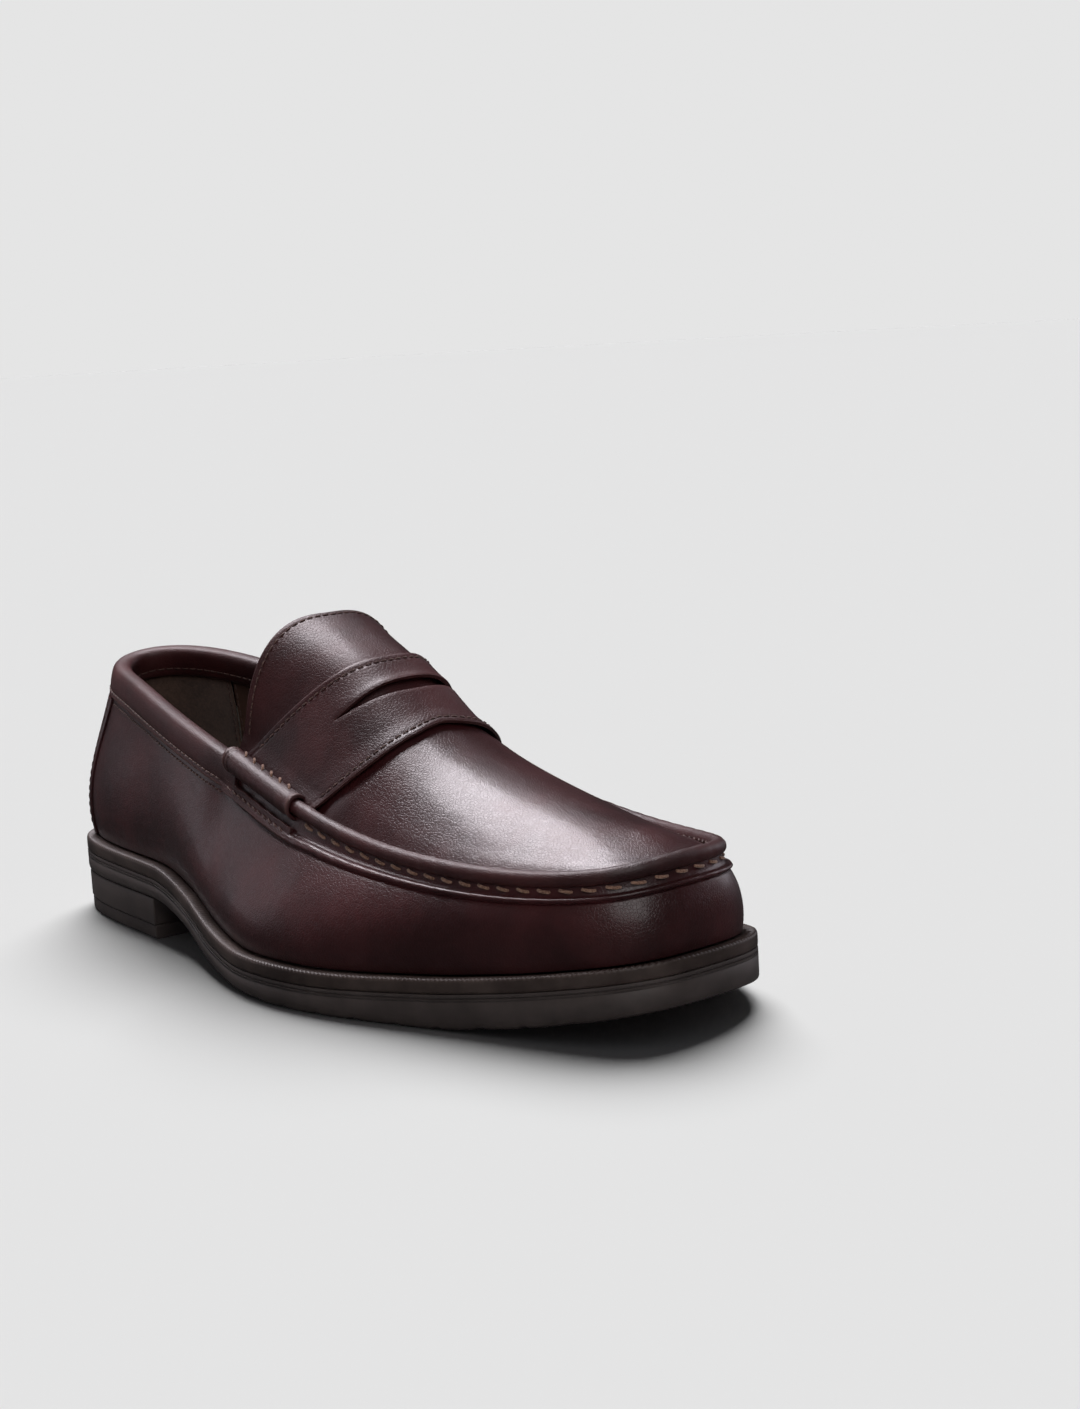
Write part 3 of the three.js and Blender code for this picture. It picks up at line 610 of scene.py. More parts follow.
def sole_fill(rows, columns, inset):
    """Plan grid across the sole: rows from heel to toe, columns from lateral to medial."""
    u = np.linspace(0, 0.5, rows)
    lateral, medial = feather(u, np.full_like(u, inset)), feather(1 - u, np.full_like(u, inset))
    middle = (lateral + medial) / 2
    end_room = 22
    station = np.clip(station_of(middle), end_room, LENGTH - end_room)
    middle[..., 1] = LENGTH / 2 - station
    t = np.linspace(-1, 1, columns)[None, :, None]
    side = np.where(t < 0, lateral[:, None], medial[:, None])
    return middle[:, None] + (side - middle[:, None]) * np.abs(t)


TREAD_PITCH, TREAD_WIDTH, TREAD_DEPTH = 14.0, 1.3, 1.1


def tread(station):
    """Height of the cross grooves in the forefoot's tread."""
    phase = (station + 5) % TREAD_PITCH - TREAD_PITCH / 2
    fine = (station % 3.5) - 1.75
    window = smoothstep(158, 168, station) * (1 - smoothstep(278, 288, station))
    return window * (TREAD_DEPTH * bump_at(phase, 0, TREAD_WIDTH) + 0.3 * bump_at(fine, 0, 0.6))


def build_outsole():
    steps = 1040
    levels = [
        (WELT_DEPTH, "top", 0), (0.6, "top", 0), (0.12, "top", 0.12), (0, "top", 0.5),
        (0, "top", 0.95), (0.35, "top", 1.1), (0.35, "top", 1.35), (0, "top", 1.5),
        (0, "top", 2.0), (0.16, "top", 2.15), (0.16, "top", 2.35), (0, "top", 2.5),
        (0, "low", 2.2), (0.05, "low", 1.1), (0.2, "low", 0.5), (0.55, "low", 0.15),
        (1.2, "low", 0),
    ]

    def ripple(points, _inset, edge, height):
        if edge == "top":
            return 0
        return 0.55 * tread(station_of(points)) * max(0.0, 1 - height / 1.2)

    loops = ring_levels(around(steps), levels, outsole_bottom, outsole_top, ripple)
    side_points, side_faces = loops.reshape(-1, 3), grid_faces(steps, len(levels), 0, True)
    fill = sole_fill(steps // 2 + 1, 25, 1.2)
    fill[..., 2] = outsole_bottom(station_of(fill)) + tread(station_of(fill))
    lid = sole_fill(steps // 8 + 1, 9, WELT_DEPTH)
    lid[..., 2] = outsole_top(station_of(lid))
    points = [side_points, fill.reshape(-1, 3), lid.reshape(-1, 3)]
    faces = side_faces + grid_faces(*fill.shape[:2], len(side_points))
    faces += grid_faces(*lid.shape[:2], len(side_points) + fill.shape[0] * fill.shape[1])
    finish_object("outsole_body", np.concatenate(points), faces, RUBBER, "sole_rubber",
                  ["outsole"], 55, merge=WELD)


def heel_outline(inset):
    """Closed plan outline of the heel, with its flat breast at the front."""
    share = np.linspace(-0.2, 0.2, 2001)
    points = feather(share, np.full_like(share, inset))
    inside = points[station_of(points) < HEEL_LENGTH]
    breast = LENGTH / 2 - HEEL_LENGTH
    first, last = inside[0].copy(), inside[-1].copy()
    first[1] = last[1] = breast
    curve = np.concatenate([[first], inside, [last]])
    curve = resample(curve, np.linspace(0, arc_lengths(curve)[-1], 180))
    straight = last + (first - last) * np.linspace(0, 1, 26)[1:-1, None]
    return np.concatenate([curve, straight])


def heel_layer(name, node, levels, material):
    """levels are (inset, z) pairs from the bottom up."""
    sections = []
    for inset, z in levels:
        outline = heel_outline(inset)
        outline[:, 2] = z
        sections.append(outline)
    piece = finish_object(name, *swept(np.stack(sections)), material, "sole_rubber", [node], 35)
    round_edges(piece, 0.5, 3, 50)


def build_heel():
    heel_layer("heel_lift", "heel_top_lift", [
        (1.3, 0), (0.75, 0.35), (0.7, 1.2), (0.7, 3.6), (0.8, TOP_LIFT - 0.3), (1.2, TOP_LIFT),
    ], RUBBER)
    heel_layer("heel_stack", "heel_block", [
        (0.9, TOP_LIFT + 0.1), (0.45, TOP_LIFT + 0.5), (0.4, 8.6), (0.4, 12.9),
        (0.7, HEEL_HEIGHT - GAP),
    ], RUBBER)


RIB_PITCH, RIB_HEIGHT = 1.55, 0.2


def build_welt():
    steps = 2800
    u = around(steps)
    run = arc_lengths(np.concatenate([feather(u), feather(u[:1])]))
    ribs = np.cos(2 * math.pi * run[:-1] / run[-1] * round(run[-1] / RIB_PITCH))
    jitter = 0.75 + 0.25 * np.sin(run[:-1] * 0.9) * np.sin(run[:-1] * 0.31 + 1)
    levels = [
        (5, "low", 0), (0.5, "low", 0), (0.08, "low", 0.25), (0, "low", 0.8), (0.0, "top", 1.3),
        (0.1, "top", 0.55), (0.42, "top", 0.14), (0.9, "top", 0), (1.7, "top", 0), (2.6, "top", 0),
        (3.3, "top", 0.1), (3.9, "top", 0.45), (4.6, "top", 0.5), (WELT_DEPTH, "top", 0.5),
    ]

    def ripple(_points, inset, edge, height):
        if edge == "low" or inset > 3.4 or height > 1:
            return 0
        return ribs * jitter * RIB_HEIGHT * (1 if inset > 0.3 else 0.4) - RIB_HEIGHT

    points = ring_levels(u, levels, lambda s: outsole_top(s) + GAP * 0.2,
                         lambda s: outsole_top(s) + WELT_HEIGHT, ripple)
    wear_and_highlight = np.zeros((steps, len(levels)))
    wear_and_highlight[:, 6:10] = (0.5 + 0.5 * ribs)[:, None]
    faces = grid_faces(steps, len(levels), 0, True)
    finish_object("welt_strip", points.reshape(-1, 3), faces, WELT, "welt_leather", ["welt"], 60,
                  wear_and_highlight.reshape(-1))


# ---- Lining and footbed ----
def board_top(station):
    return outsole_top(station) + WELT_HEIGHT + 2 * GAP + 2.0


INNER_INSET = WELT_WIDTH + LINING_OFFSET + LINING_LEATHER + 0.5


def build_footbed():
    grid = sole_fill(260, 41, INNER_INSET + 0.4)
    across = np.linspace(-1, 1, 41)[None, :]
    top, bottom = grid.copy(), grid.copy()
    bottom[..., 2] = board_top(station_of(grid)) + GAP
    top[..., 2] = bottom[..., 2] + 1.0 - 0.35 * np.abs(across) ** 10
    finish_object("sock_leather", *shell(top, bottom), LINING, "lining_leather", ["sock_liner"], 50,
                  merge=WELD)


def build_heel_pad():
    centre, back, front, half, rim, crown = 2.5, 14, 86, 23, 0.6, 2.4
    angle = np.linspace(0.02, math.pi - 0.02, 60)[:, None]
    side = np.linspace(-1, 1, 41)[None, :]
    station = (back + front) / 2 - (front - back) / 2 * np.cos(angle) + 0 * side
    dome = np.sin(angle) ** 0.7 * (1 - side**4)
    channel = bump_at(np.sqrt(side**2 + (np.cos(angle)) ** 2), 0.8, 0.045)
    base = board_top(station) + 1.0 + 2 * GAP
    x = centre + half * np.sqrt(np.sin(angle)) * side
    bottom = from_station(x, station, base)
    top = from_station(x, station, base + rim + crown * dome - 0.5 * channel * (dome > 0.1))
    pad = finish_object("heel_cushion", *shell(top, bottom), GRIP, "pad_foam", ["heel_pad"], 60,
                        merge=WELD)


def wall_sheet(name, node, first, last, outer, inner, material, slot):
    """A lining that follows the wall from one place to another."""
    u = (np.linspace(first, last, int((last - first) * 16) + 1) / PLACES)[:, None]
    v = np.linspace(0.015, 0.97, 36)[None, :]
    sheet = shell(wall_offset(u, v, outer), wall_offset(u, v, inner))
    round_edges(finish_object(name, *sheet, material, slot, [node], 45), 0.3)


def build_linings():
    outer, inner = -LINING_OFFSET, -LINING_OFFSET - LINING_LEATHER
    joint = 0.03
    for name, node, first, last, material, slot in (
        ("heel_grip_suede", "heel_grip", -3, 3, GRIP, "grip_suede"),
        ("quarter_lining_outer", "quarter_lining_lateral", 3, 6, LINING, "lining_leather"),
        ("quarter_lining_inner", "quarter_lining_medial", -6, -3, LINING, "lining_leather"),
        ("forepart_lining", "vamp_lining", 6, 20, LINING, "lining_leather"),
    ):
        wall_sheet(name, node, first + joint, last - joint, outer, inner, material, slot)
    for side in (-1, 1):
        for shift in (-0.09, 0.09):
            v = np.linspace(0.1, 0.94, 60)
            u = np.full_like(v, side * (3 + shift) / PLACES)
            stitches(f"lining_stitch_{'ab'[side > 0]}{'ab'[shift > 0]}", wall_offset(u, v, inner),
                     -wall_normal(u, v), 3.2, 2.3, 0.2, DARK_THREAD)


# ---- Seam lines: stitch pitch and pinch follow the moccasin seam ----
MOC_PITCH = 7.0
FINE_PITCH = MOC_PITCH / 2
FINE_STITCH = (2.7, 1.9, 0.24)  # pitch, length and radius


def seam_run(u):
    """Distance along the moccasin seam at each share u."""
    fine = np.linspace(0, 1, 4001)
    run = arc_lengths(seam(fine))
    return np.interp(u, fine, run)


def pinch(u, pitch=MOC_PITCH):
    """1 at each stitch of the moccasin seam and 0 between."""
    return (0.5 + 0.5 * np.cos(2 * math.pi * seam_run(u) / pitch)) ** 2


# ---- Upper ----
def build_vamp():
    back_seam = 0.0006
    u = np.linspace(back_seam, 1 - back_seam, 1041)[:, None]
    section = np.array([  # share of the wall's height, set out as a share of the lip
        *[(v, 0) for v in np.linspace(0, 0.8, 30)], (0.82, -0.02), (0.832, -0.1), (0.84, -0.16),
        (0.846, 0.25), (0.85, 0.75), (0.856, 1.0), (0.868, 1.12), (0.884, 1.1), (0.898, 0.95),
        (0.908, 0.62), (0.916, 0.28), (0.93, 0.1), (0.95, 0.04), (0.975, 0.0), (1.0, 0.05),
    ])
    v, share = section[:, 0][None], section[:, 1][None]
    lip = lip_share(place_of(u))
    scallop = 1 - 0.1 * pinch(u)
    wave = 0.25 * np.sin(seam_run(u) * 0.045 + 1.2) * bump_at(v, 0.45, 0.25)
    outer = wall_offset(u, v, share * 1.25 * lip * scallop + wave * 0.5)
    inner = wall_offset(u, v, -UPPER_LEATHER)
    # The wall's top edge runs up behind the stitches into the seam rolls.
    rise = 1.6 + 1.0 * bump_at(place_of(u), STRAP_FRONT + 0.2, 0.35)
    rise = rise * smoothstep(0.965, 1.0, v) * smoothstep(5.7, 6.0, place_of(u))
    outer[..., 2] += rise
    inner[..., 2] += rise
    wear_and_highlight = np.where((share > 0.5), 0.75 * share, 0) * np.broadcast_to(lip, (len(u), len(section)))
    finish_object("upper_wall", *shell(outer, inner), UPPER, "upper_leather", ["vamp"], 60,
                  np.concatenate([wear_and_highlight.reshape(-1), np.zeros(wear_and_highlight.size)]), merge=None)


def build_back_stay():
    u = np.linspace(-2, 2, 130)[:, None] / PLACES
    v = np.linspace(0, 0.84, 50)[None, :]
    rim = np.maximum(smoothstep(1.9, 2.0, np.abs(u * PLACES)), 0 * v)
    sheet = shell(wall_offset(u, v, GAP + 0.9 - 0.45 * rim), wall_offset(u, v, 0.1))
    finish_object("heel_stay", *sheet, UPPER, "upper_leather", ["back_stay"], 45,
                  np.concatenate([rim.reshape(-1) * 0.5, np.zeros(rim.size)]))
    for side in (-1, 1):
        line_v = np.linspace(0.03, 0.82, 90)
        line_u = np.full_like(line_v, side * 1.86 / PLACES)
        stitches(f"stay_stitch_{'ab'[side > 0]}", wall_offset(line_u, line_v, 1.2),
                 wall_normal(line_u, line_v), 2.9, 2.1, 0.17, DARK_THREAD, lift=-0.1)


BINDING_OUTSIDE = [
    (0.35, -10.25), (0.9, -10.2), (1.2, -9.9), (1.28, -9.3), (1.15, -8.75), (1.02, -8.45),
    (1.18, -8.1), (1.4, -7.4), (1.55, -6), (1.6, -4.2), (1.5, -2.7), (1.15, -1.5), (0.55, -0.7),
    (-0.4, -0.2), (-1.4, 0.0), (-2.6, 0.0), (-3.7, -0.2), (-4.5, -0.75), (-4.95, -1.6),
    (-5.1, -2.8), (-5.1, -6.2), (-4.98, -6.6), (-5.1, -7.0), (-5.05, -8.8), (-4.9, -9.0),
]
BINDING_INSIDE = [
    (-4.3, -9.0), (-4.2, -6), (-4.2, -2.4), (-3.9, -1.6), (-2.4, -1.1), (-0.4, -1.3), (0.2, -2),
    (0.3, -4), (0.3, -7),
]


def build_binding():
    path = np.array(BINDING_OUTSIDE + BINDING_INSIDE)
    reach = STRAP_BACK - 0.02
    u = (np.linspace(-reach - 0.13, reach + 0.13, 490) / PLACES)[:, None]
    a, b = path[:, 0][None], path[:, 1][None]
    finish_object("collar_roll", *swept(collar(u, a, b)), TRIM, "upper_leather",
                  ["collar_binding"], 50, np.tile(np.where(path[:, 1] < -9.8, 0.9, 0.0), len(u)))
    line = np.linspace(-reach + 0.1, reach - 0.1, 700) / PLACES
    outer_normal = wall_normal(line, np.full_like(line, 0.9))
    stitches("collar_stitch_outer", collar(line, 1.1, -8.45), outer_normal, 3.0, 2.2, 0.24,
             DARK_THREAD)
    stitches("collar_stitch_inner", collar(line, -5.08, -6.6), -outer_normal, 3.0, 2.2, 0.22,
             DARK_THREAD)
    rough = line[np.abs(line * PLACES) > 2.1]
    for name, part in (("a", rough[rough < 0]), ("b", rough[rough > 0])):
        stitches(f"collar_stitch_lower_{name}", collar(part, 0.05, -12.0),
                 wall_normal(part, np.full_like(part, 0.85)), 2.2, 1.0, 0.26, DARK_THREAD)


def build_apron():
    side = sides_across(161)
    row = np.concatenate([np.linspace(APRON_START_ROW, 9.2, 190),
                          np.linspace(9.22, TOE_ROW, 34)])[:, None]
    near_edge = smoothstep(0.86, 0.985, np.abs(side))
    puckers = -0.16 * near_edge * (0.35 + 0.65 * (side > 0))
    puckers = puckers * pinch(seam_share(row, side), FINE_PITCH)
    slump = 0.35 * np.sin(row * 2.1 + side * 2.2) * (1 - near_edge) * smoothstep(3.4, 5, row)
    swell = 0.5 * bump_at(np.abs(side), 0.9, 0.07) * smoothstep(3.5, 4.5, row)
    swell = swell * smoothstep(10.2, 9, row)
    outer = instep(row, side)
    outer[..., 2] += puckers + slump * 0.5 + swell * 0.4
    inner = instep(row, side)
    inner[..., 2] -= UPPER_LEATHER
    finish_object("apron_top", *shell(outer, inner), UPPER, "upper_leather", ["apron"], 60,
                  merge=WELD)


def row_at_distance(row, side, distance, direction):
    """The row, further along or back, that lies that far from a row at each side position."""
    steps = np.linspace(0, 1, 81)
    ladder = instep(row + direction * steps[:, None], side[None, :])
    run = np.concatenate([np.zeros((1, len(side))),
                          np.cumsum(np.linalg.norm(np.diff(ladder, axis=0), axis=-1), axis=0)])
    return np.array([row + direction * np.interp(distance, along, steps) for along in run.T])


def rows_behind(front, side, distance):
    """The row that lies that far behind each point of an edge, given as a row for each side."""
    return np.array([row_at_distance(row, side[k:k + 1], distance, -1)[0]
                     for k, row in enumerate(front)])


def tucked(points, side, reach=1.9):
    """Push a sheet's side edges outward and down, so that they end inside the seam roll."""
    points = points.copy()
    edge = smoothstep(0.93, 0.98, np.abs(side))
    points[..., 0] += np.sign(side) * reach * edge
    points[..., 2] -= 0.7 * edge
    return points


SLOT_ROW, SLOT_HALF, SLOT_OPENING = 2.9, 0.68, 0.15


def slot_hollow(row, side):
    """The tongue lies lower under the strap's slot."""
    return 1.1 * bump_at(row, SLOT_ROW, 0.3) * lens(side, 0.8)


def build_tongue():
    side = sides_across(121, 0.975)
    row = np.concatenate([np.linspace(0, 0.3, 14), np.linspace(0.33, TONGUE_END_ROW, 60)])[:, None]
    stitch_row = row_at_distance(0, side[0], 2.2, 1)[None, :]
    channel = -0.16 * bump_at(row, stitch_row, 0.03) * (np.abs(side) < 0.95)
    rim = at_rim(row)
    hollow = slot_hollow(row, side)
    outer = tucked(instep_offset(row, side, channel - 0.35 * rim - hollow), side)
    inner = tucked(instep_offset(row, side, -TONGUE_LEATHER + 0.3 * rim - hollow), side)
    wear_and_highlight = np.broadcast_to(rim * 0.2, outer.shape[:2]).reshape(-1)
    finish_object("tongue_flap", *shell(outer, inner), STRAP, "upper_leather", ["tongue"], 60,
                  np.concatenate([wear_and_highlight, wear_and_highlight]), merge=WELD)
    back = -TONGUE_LEATHER - 0.15
    row = np.linspace(0.05, TONGUE_END_ROW, 50)[:, None]
    hollow = slot_hollow(row, side)
    outer, inner = (tucked(instep_offset(row, side, depth - hollow), side, 2.4)
                    for depth in (back, back - LINING_LEATHER))
    finish_object("tongue_back", *shell(outer, inner), LINING, "lining_leather", ["tongue_lining"],
                  60, merge=WELD)
    line = np.linspace(-0.95, 0.95, 400)
    at = row_at_distance(0, line, 2.2, 1)
    stitches("tongue_stitch", instep_offset(at, line, -0.1), instep_normal(at, line), *FINE_STITCH,
             DARK_THREAD)


STITCH_INSET = 2.3


def strap_front(side):
    """The strap's front edge, with its slight notch at the crest."""
    return STRAP_FRONT_ROW + 0.14 - 0.1 * np.maximum(0, 1 - np.abs(side) / 0.28)


def strap_lift(row, side, front):
    """How far the strap stands off the tongue and apron: it lifts at its front edge and slot."""
    inside = 1 - smoothstep(0.75, 0.98, np.abs(side))
    slot = bump_at(row, SLOT_ROW, 0.25) * lens(side, SLOT_HALF)
    slot = slot * (0.25 + 0.75 * smoothstep(0.02, -0.02, row - SLOT_ROW))
    return GAP + 0.75 * smoothstep(0.5, 0, front - row) * (0.35 + 0.65 * inside) + 1.5 * slot


def build_strap():
    side = sides_across(181, 0.985)
    front = strap_front(side)
    opening = SLOT_OPENING * lens(side, SLOT_HALF)
    back_part = np.concatenate([np.linspace(0, 0.12, 8), np.linspace(0.16, 0.9, 22),
                                [0.95, 0.985, 1]])[:, None]
    front_part = np.concatenate([[0, 0.015, 0.05], np.linspace(0.1, 0.84, 22),
                                 np.linspace(0.88, 1, 9)])[:, None]
    back_rows = STRAP_BACK_ROW + (SLOT_ROW - opening - STRAP_BACK_ROW) * back_part
    front_rows = SLOT_ROW + opening + (front - SLOT_ROW - opening) * front_part
    rows = np.concatenate([back_rows, front_rows])
    cut = len(back_part) - 1
    back_line = row_at_distance(STRAP_BACK_ROW, side[0], STITCH_INSET, 1)[None, :]
    front_line = rows_behind(front[0], side[0], STITCH_INSET)[None, :]
    channel = -0.22 * (bump_at(rows, back_line, 0.035) + bump_at(rows, front_line, 0.035))
    rim = np.maximum(at_rim(rows - STRAP_BACK_ROW), at_rim(front - rows))
    slot_rim = at_rim(np.abs(rows - SLOT_ROW) - opening) * (opening > 0)
    lift = strap_lift(rows, side, front)
    full = STRAP_LEATHER - 0.15 * smoothstep(0.4, 0.1, front - rows)
    rise = lift + full + channel - 0.2 * rim - 0.2 * slot_rim
    outer = tucked(instep_offset(rows, side, rise), side, 1.5)
    inner = tucked(instep_offset(rows, side, lift + 0.15 * rim), side, 1.5)
    sheet = shell(outer, inner, keep=lambda i, j: not (
        i == cut and opening[0, j] + opening[0, j + 1] > 0))
    wear_and_highlight = np.maximum(rim * 0.25, slot_rim * 0.15)
    finish_object("saddle", *sheet, STRAP, "upper_leather", ["saddle_strap"], 60,
                  np.concatenate([wear_and_highlight.reshape(-1), wear_and_highlight.reshape(-1)]), merge=WELD)
    line = np.linspace(-0.96, 0.96, 420)
    at_back = row_at_distance(STRAP_BACK_ROW, line, STITCH_INSET, 1)
    front_at = strap_front(line)
    at_front = rows_behind(front_at, line, STITCH_INSET)
    for name, at in (("back", at_back), ("front", at_front)):
        height = strap_lift(at, line, front_at) + STRAP_LEATHER - 0.12
        height = height - 0.15 * smoothstep(0.4, 0.1, front_at - at)
        stitches(f"saddle_stitch_{name}", instep_offset(at, line, height), instep_normal(at, line),
                 *FINE_STITCH, DARK_THREAD)


# ---- Seam rolls ----
def tube_sections(u, radius, sides, shift=(0.0, 0.0)):
    """Rings round the seam line: radius for each step, shift outward and upward."""
    out = outward(top_edge, u)
    centre = seam(u) + out * shift[0] + UP * shift[1]
    turn = np.linspace(0, 2 * math.pi, sides, endpoint=False)
    radius = np.broadcast_to(np.asarray(radius, float), np.shape(u))
    return centre[:, None] + (out[:, None] * np.cos(turn)[None, :, None]
                              + UP * np.sin(turn)[None, :, None]) * radius[:, None, None]


def build_roll():
    begin = STRAP_FRONT - 0.06
    u = np.linspace(begin, PLACES - begin, 1200) / PLACES
    radius = ROLL_RADIUS * (1 - 0.045 * pinch(u) + 0.02 * np.sin(seam_run(u) * 0.11))
    tube = swept(tube_sections(u, radius + 0.3, 28, (0.1, 0.1)))
    finish_object("apron_roll", *tube, TRIM, "upper_leather", ["moc_roll"], 60)
    band = np.linspace(begin + 0.08, PLACES - begin - 0.08, 1600) / PLACES
    out = outward(top_edge, band)
    path = seam(band) + out * 1.15 - UP * (ROLL_RADIUS + 0.85)
    thread_row = stitches("moc_stitches", path, unit(out - 0.15 * UP), MOC_PITCH, 4.0, 0.52,
                          MOC_THREAD, slant=0.35)
    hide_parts("moc_stitching")
    inner_path = seam(band) - out * (ROLL_RADIUS + 0.15) + UP * 0.35
    stitches("apron_pinch_stitches", inner_path, unit(UP - 0.4 * out), FINE_PITCH, 1.3, 0.3,
             DARK_THREAD, slant=0.3)


def build_beef_roll(name, node, from_place, to_place):
    """The strap's end wrapped round the seam: a tube, hollow at its front, ringed at its back."""
    length = arc_lengths(seam(np.linspace(from_place, to_place, 200) / PLACES))[-1]
    back_first = from_place < PLACES / 2
    stations = np.array([
        (3.5, 2.5), (0.6, 2.75), (0.05, 2.95), (0.0, 3.3), (0.12, 3.75), (0.5, 4.02), (1.1, 4.12),
        (1.7, 4.0), (2.0, 3.8), (2.3, 3.96), (2.9, 4.02), (3.4, 3.9), (3.8, 3.75),
    ])
    start = stations[:, 0]
    middle = np.linspace(5, length - 5, 40)
    waist = 3.95 - 0.22 * np.sin(np.linspace(0, math.pi, 40)) + 0.03 * np.sin(middle * 1.9)
    end_run = length - np.array([3.4, 2.4, 1.6, 0.9, 0.4, 0.1, 0.0, 0.05, 0.5, 4.5])
    end_radius = np.array([3.78, 3.84, 3.95, 4.08, 4.1, 3.9, 3.55, 3.1, 2.9, 2.6])
    run = np.concatenate([start, middle, end_run])
    radius = np.concatenate([stations[:, 1], waist, end_radius])
    if not back_first:
        run = length - run
    line = np.linspace(from_place, to_place, 400) / PLACES
    u = np.interp(run, arc_lengths(seam(line)), line)
    wear_and_highlight = np.repeat(bump_at(radius, 4.1, 0.12) * 0.5, 40)
    finish_object(name, *swept(tube_sections(u, radius, 40)), TRIM, "upper_leather", [node], 60,
                  wear_and_highlight)
    fine = np.linspace(from_place + 0.06, to_place - 0.06, 300) / PLACES
    out = outward(top_edge, fine)
    path = seam(fine) - out * 1.3 + UP * 3.75
    stitches(f"{name}_stitches", path, unit(UP * 0.94 - out * 0.33), 4.8, 3.2, 0.46, MOC_THREAD,
             slant=0.9)
    build_tab(f"{name}_tab", from_place, to_place)


def build_tab(name, from_place, to_place):
    """The strap's raw end, showing as a flange below the roll."""
    if from_place < PLACES / 2:
        from_place -= 0.12
    else:
        to_place += 0.12
    u = np.linspace(from_place, to_place, 110)[:, None] / PLACES
    t = np.linspace(0, 1, 16)[None, :]
    run = seam_run(u)
    low = 0.858 + 0.0015 * np.sin(run * 0.5)
    high = 0.955 + 0.003 * np.sin(run * 0.8)
    v = low + (high - low) * t
    crown = 1.45 - 0.25 * t + 0.25 * bump_at(t, 0.95, 0.12) - 0.22 * bump_at(t, 0.5, 0.12)
    # Lighter bands painted on the tab: the bottom edge is rubbed wear; the top edge is a painted
    # highlight along its ridge.
    wear_and_highlight = 0.6 * bump_at(t, 0.98, 0.06) + 0.4 * bump_at(t, 0, 0.08)
    wear_and_highlight = np.broadcast_to(wear_and_highlight, v.shape).reshape(-1)
    sheet = shell(wall_offset(u, v, crown), wall_offset(u, v, 0.1))
    round_edges(finish_object(name, *sheet, TRIM, "upper_leather", (), 45,
                              np.concatenate([wear_and_highlight, wear_and_highlight * 0])), 0.25)
    line = u[3:-3, 0]
    v_line = np.full_like(line, 0.905)
    stitches(f"{name}_stitches", wall_offset(line, v_line, 1.15), wall_normal(line, v_line),
             3.6, 2.4, 0.28, DARK_THREAD, slant=0.3)


# ---- Pieces inside the shoe keep their CAD shape ----
def dress_cad_nodes():
    for node, material in (
        ("cork_filler", CORK), ("insole_board", BOARD), ("heel_counter", STIFFENER),
        ("toe_puff", STIFFENER), ("shank", STEEL), ("apron_lining", LINING),
        *[(f"heel_nail_{k}", STEEL) for k in range(1, 6)],
    ):
        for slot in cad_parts[node].material_slots:
            slot.material = material


build_outsole()
build_heel()
build_welt()
build_footbed()
build_heel_pad()
build_linings()
build_vamp()
build_back_stay()
build_binding()
build_apron()
build_tongue()
build_strap()
build_roll()
build_beef_roll("beef_roll_outer", "beef_roll_lateral", STRAP_BACK, STRAP_FRONT)
build_beef_roll("beef_roll_inner", "beef_roll_medial", PLACES - STRAP_FRONT, PLACES - STRAP_BACK)
dress_cad_nodes()


# ---- Stage ----
BACKGROUND = 0.783
SWEEP_RADIUS = 8  # metres


def plain_material(name, shader, color):
    material = bpy.data.materials.new(name)
    material.use_nodes = True
    tree = material.node_tree
    tree.nodes.clear()
    node = tree.nodes.new(shader)
    node.inputs["Color"].default_value = (*color, 1)
    output = tree.nodes.new("ShaderNodeOutputMaterial")
    tree.links.new(node.outputs[0], output.inputs["Surface"])
    return material


def stage_object(name, points, faces, material):
    mesh = bpy.data.meshes.new(name)
    mesh.from_pydata(points, [], faces)
    mesh.materials.append(material)
    thing = bpy.data.objects.new(name, mesh)
    scene.collection.objects.link(thing)
    return thing


def build_floor():
    half = SWEEP_RADIUS + 0.5
    corners = [(x * half, y * half, 0) for x, y in ((-1, -1), (1, -1), (1, 1), (-1, 1))]
    floor = stage_object("studio_floor", corners, [(0, 1, 2, 3)],
                         plain_material("floor_paint", "ShaderNodeBsdfDiffuse", (0.8, 0.8, 0.8)))
    floor.visible_glossy = False
    sides = 48
    turn = np.linspace(0, 2 * math.pi, sides, endpoint=False)
    ring = [(SWEEP_RADIUS * math.cos(t), SWEEP_RADIUS * math.sin(t)) for t in turn]
    points = [(x, y, z) for z in (-1, SWEEP_RADIUS) for x, y in ring] + [(0, 0, SWEEP_RADIUS)]
    pairs = [(k, (k + 1) % sides) for k in range(sides)]
    faces = [(a, b, sides + b, sides + a) for a, b in pairs]
    faces += [(sides + a, sides + b, 2 * sides) for a, b in pairs]
    sweep = stage_object("studio_sweep", points, faces,
                         plain_material("sweep_paint", "ShaderNodeEmission", (BACKGROUND,) * 3))
    sweep.visible_diffuse = sweep.visible_glossy = sweep.visible_shadow = False
    return floor


def add_light(name, kind, place, aim, power, color=(1, 1, 1)):
    light = bpy.data.lights.new(name, kind)
    light.energy = power
    light.color = color
    lamp = bpy.data.objects.new(name, light)
    lamp.location = place
    lamp.rotation_euler = (Vector(aim) - Vector(place)).to_track_quat("-Z", "Y").to_euler()
    lamp.visible_camera = False
    scene.collection.objects.link(lamp)
    return lamp


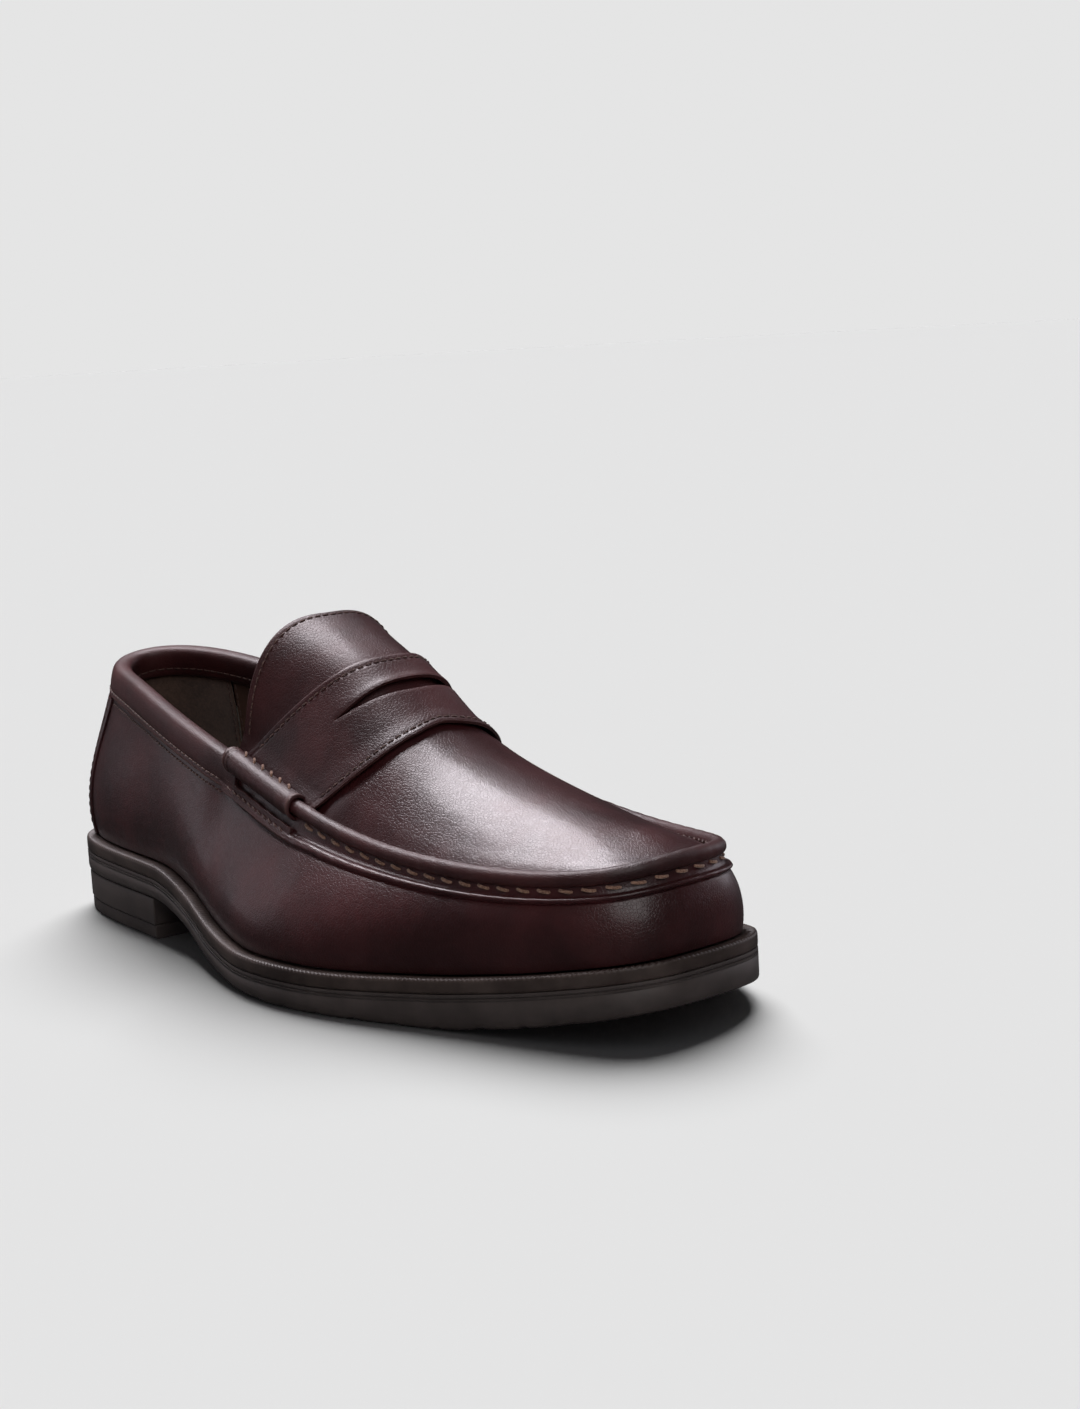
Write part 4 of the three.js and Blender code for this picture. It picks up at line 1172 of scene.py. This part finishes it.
def build_lights(floor):
    world = bpy.data.worlds.new("studio")
    scene.world = world
    world.use_nodes = True
    background = world.node_tree.nodes["Background"]
    background.inputs["Color"].default_value = (0.95, 0.95, 1.0, 1)
    background.inputs["Strength"].default_value = 0.037
    # The soft boxes light the shoe only, so that the floor stays even under its own sun.
    without_floor = bpy.data.collections.new("all_but_floor")
    without_floor.objects.link(floor)
    without_floor.collection_objects[0].light_linking.link_state = "EXCLUDE"
    floor_only = bpy.data.collections.new("floor_only")
    floor_only.objects.link(floor)
    sun = add_light("floor_sun", "SUN", (0.635, 0.773, 1.19), (0, 0, 0), 3.84)
    sun.data.angle = math.radians(40)
    sun.light_linking.receiver_collection = floor_only
    for name, place, size, power, color in (
        ("overhead", (0.12, 0.6, 1.15), (0.7, 0.6), 21.5, (1.0, 0.94, 0.99)),
        ("front_top", (-0.5, -0.9, 1.0), (1.0, 1.0), 7, (1.0, 0.96, 0.96)),
        ("back_left", (-0.55, 1.3, 0.45), (0.45, 0.8), 1.1, (0.97, 0.93, 1.0)),
        ("right_side", (1.3, -0.15, 0.45), (0.6, 0.7), 3.0, (0.97, 0.92, 1.0)),
    ):
        box = add_light(name, "AREA", place, (0, 0, 0.05), power, color)
        box.data.shape = "RECTANGLE"
        box.data.size, box.data.size_y = size
        box.light_linking.receiver_collection = without_floor


CAMERA_AZIMUTH, CAMERA_ELEVATION, CAMERA_ROLL = -39.4, 8.6, -3.2
CAMERA_DISTANCE = 0.8583
CAMERA_TARGET = Vector((0.0413, -0.0421, 0.0774))
CAMERA_LENS = 71.42


def build_camera():
    azimuth, elevation, roll = map(math.radians, (CAMERA_AZIMUTH, CAMERA_ELEVATION, CAMERA_ROLL))
    back = Vector((math.sin(azimuth) * math.cos(elevation),
                   -math.cos(azimuth) * math.cos(elevation), math.sin(elevation)))
    right = Vector((math.cos(azimuth), math.sin(azimuth), 0))
    up = back.cross(right)
    right, up = (right * math.cos(roll) + up * math.sin(roll),
                 up * math.cos(roll) - right * math.sin(roll))
    data = bpy.data.cameras.new("camera")
    data.sensor_fit = "VERTICAL"
    data.sensor_width = data.sensor_height = 36
    data.lens = CAMERA_LENS
    camera = bpy.data.objects.new("camera", data)
    place = CAMERA_TARGET + back * CAMERA_DISTANCE
    camera.matrix_world = Matrix((
        (right.x, up.x, back.x, place.x), (right.y, up.y, back.y, place.y),
        (right.z, up.z, back.z, place.z), (0, 0, 0, 1),
    ))
    scene.collection.objects.link(camera)
    scene.camera = camera


build_lights(build_floor())
build_camera()
scene.view_settings.view_transform = "Standard"
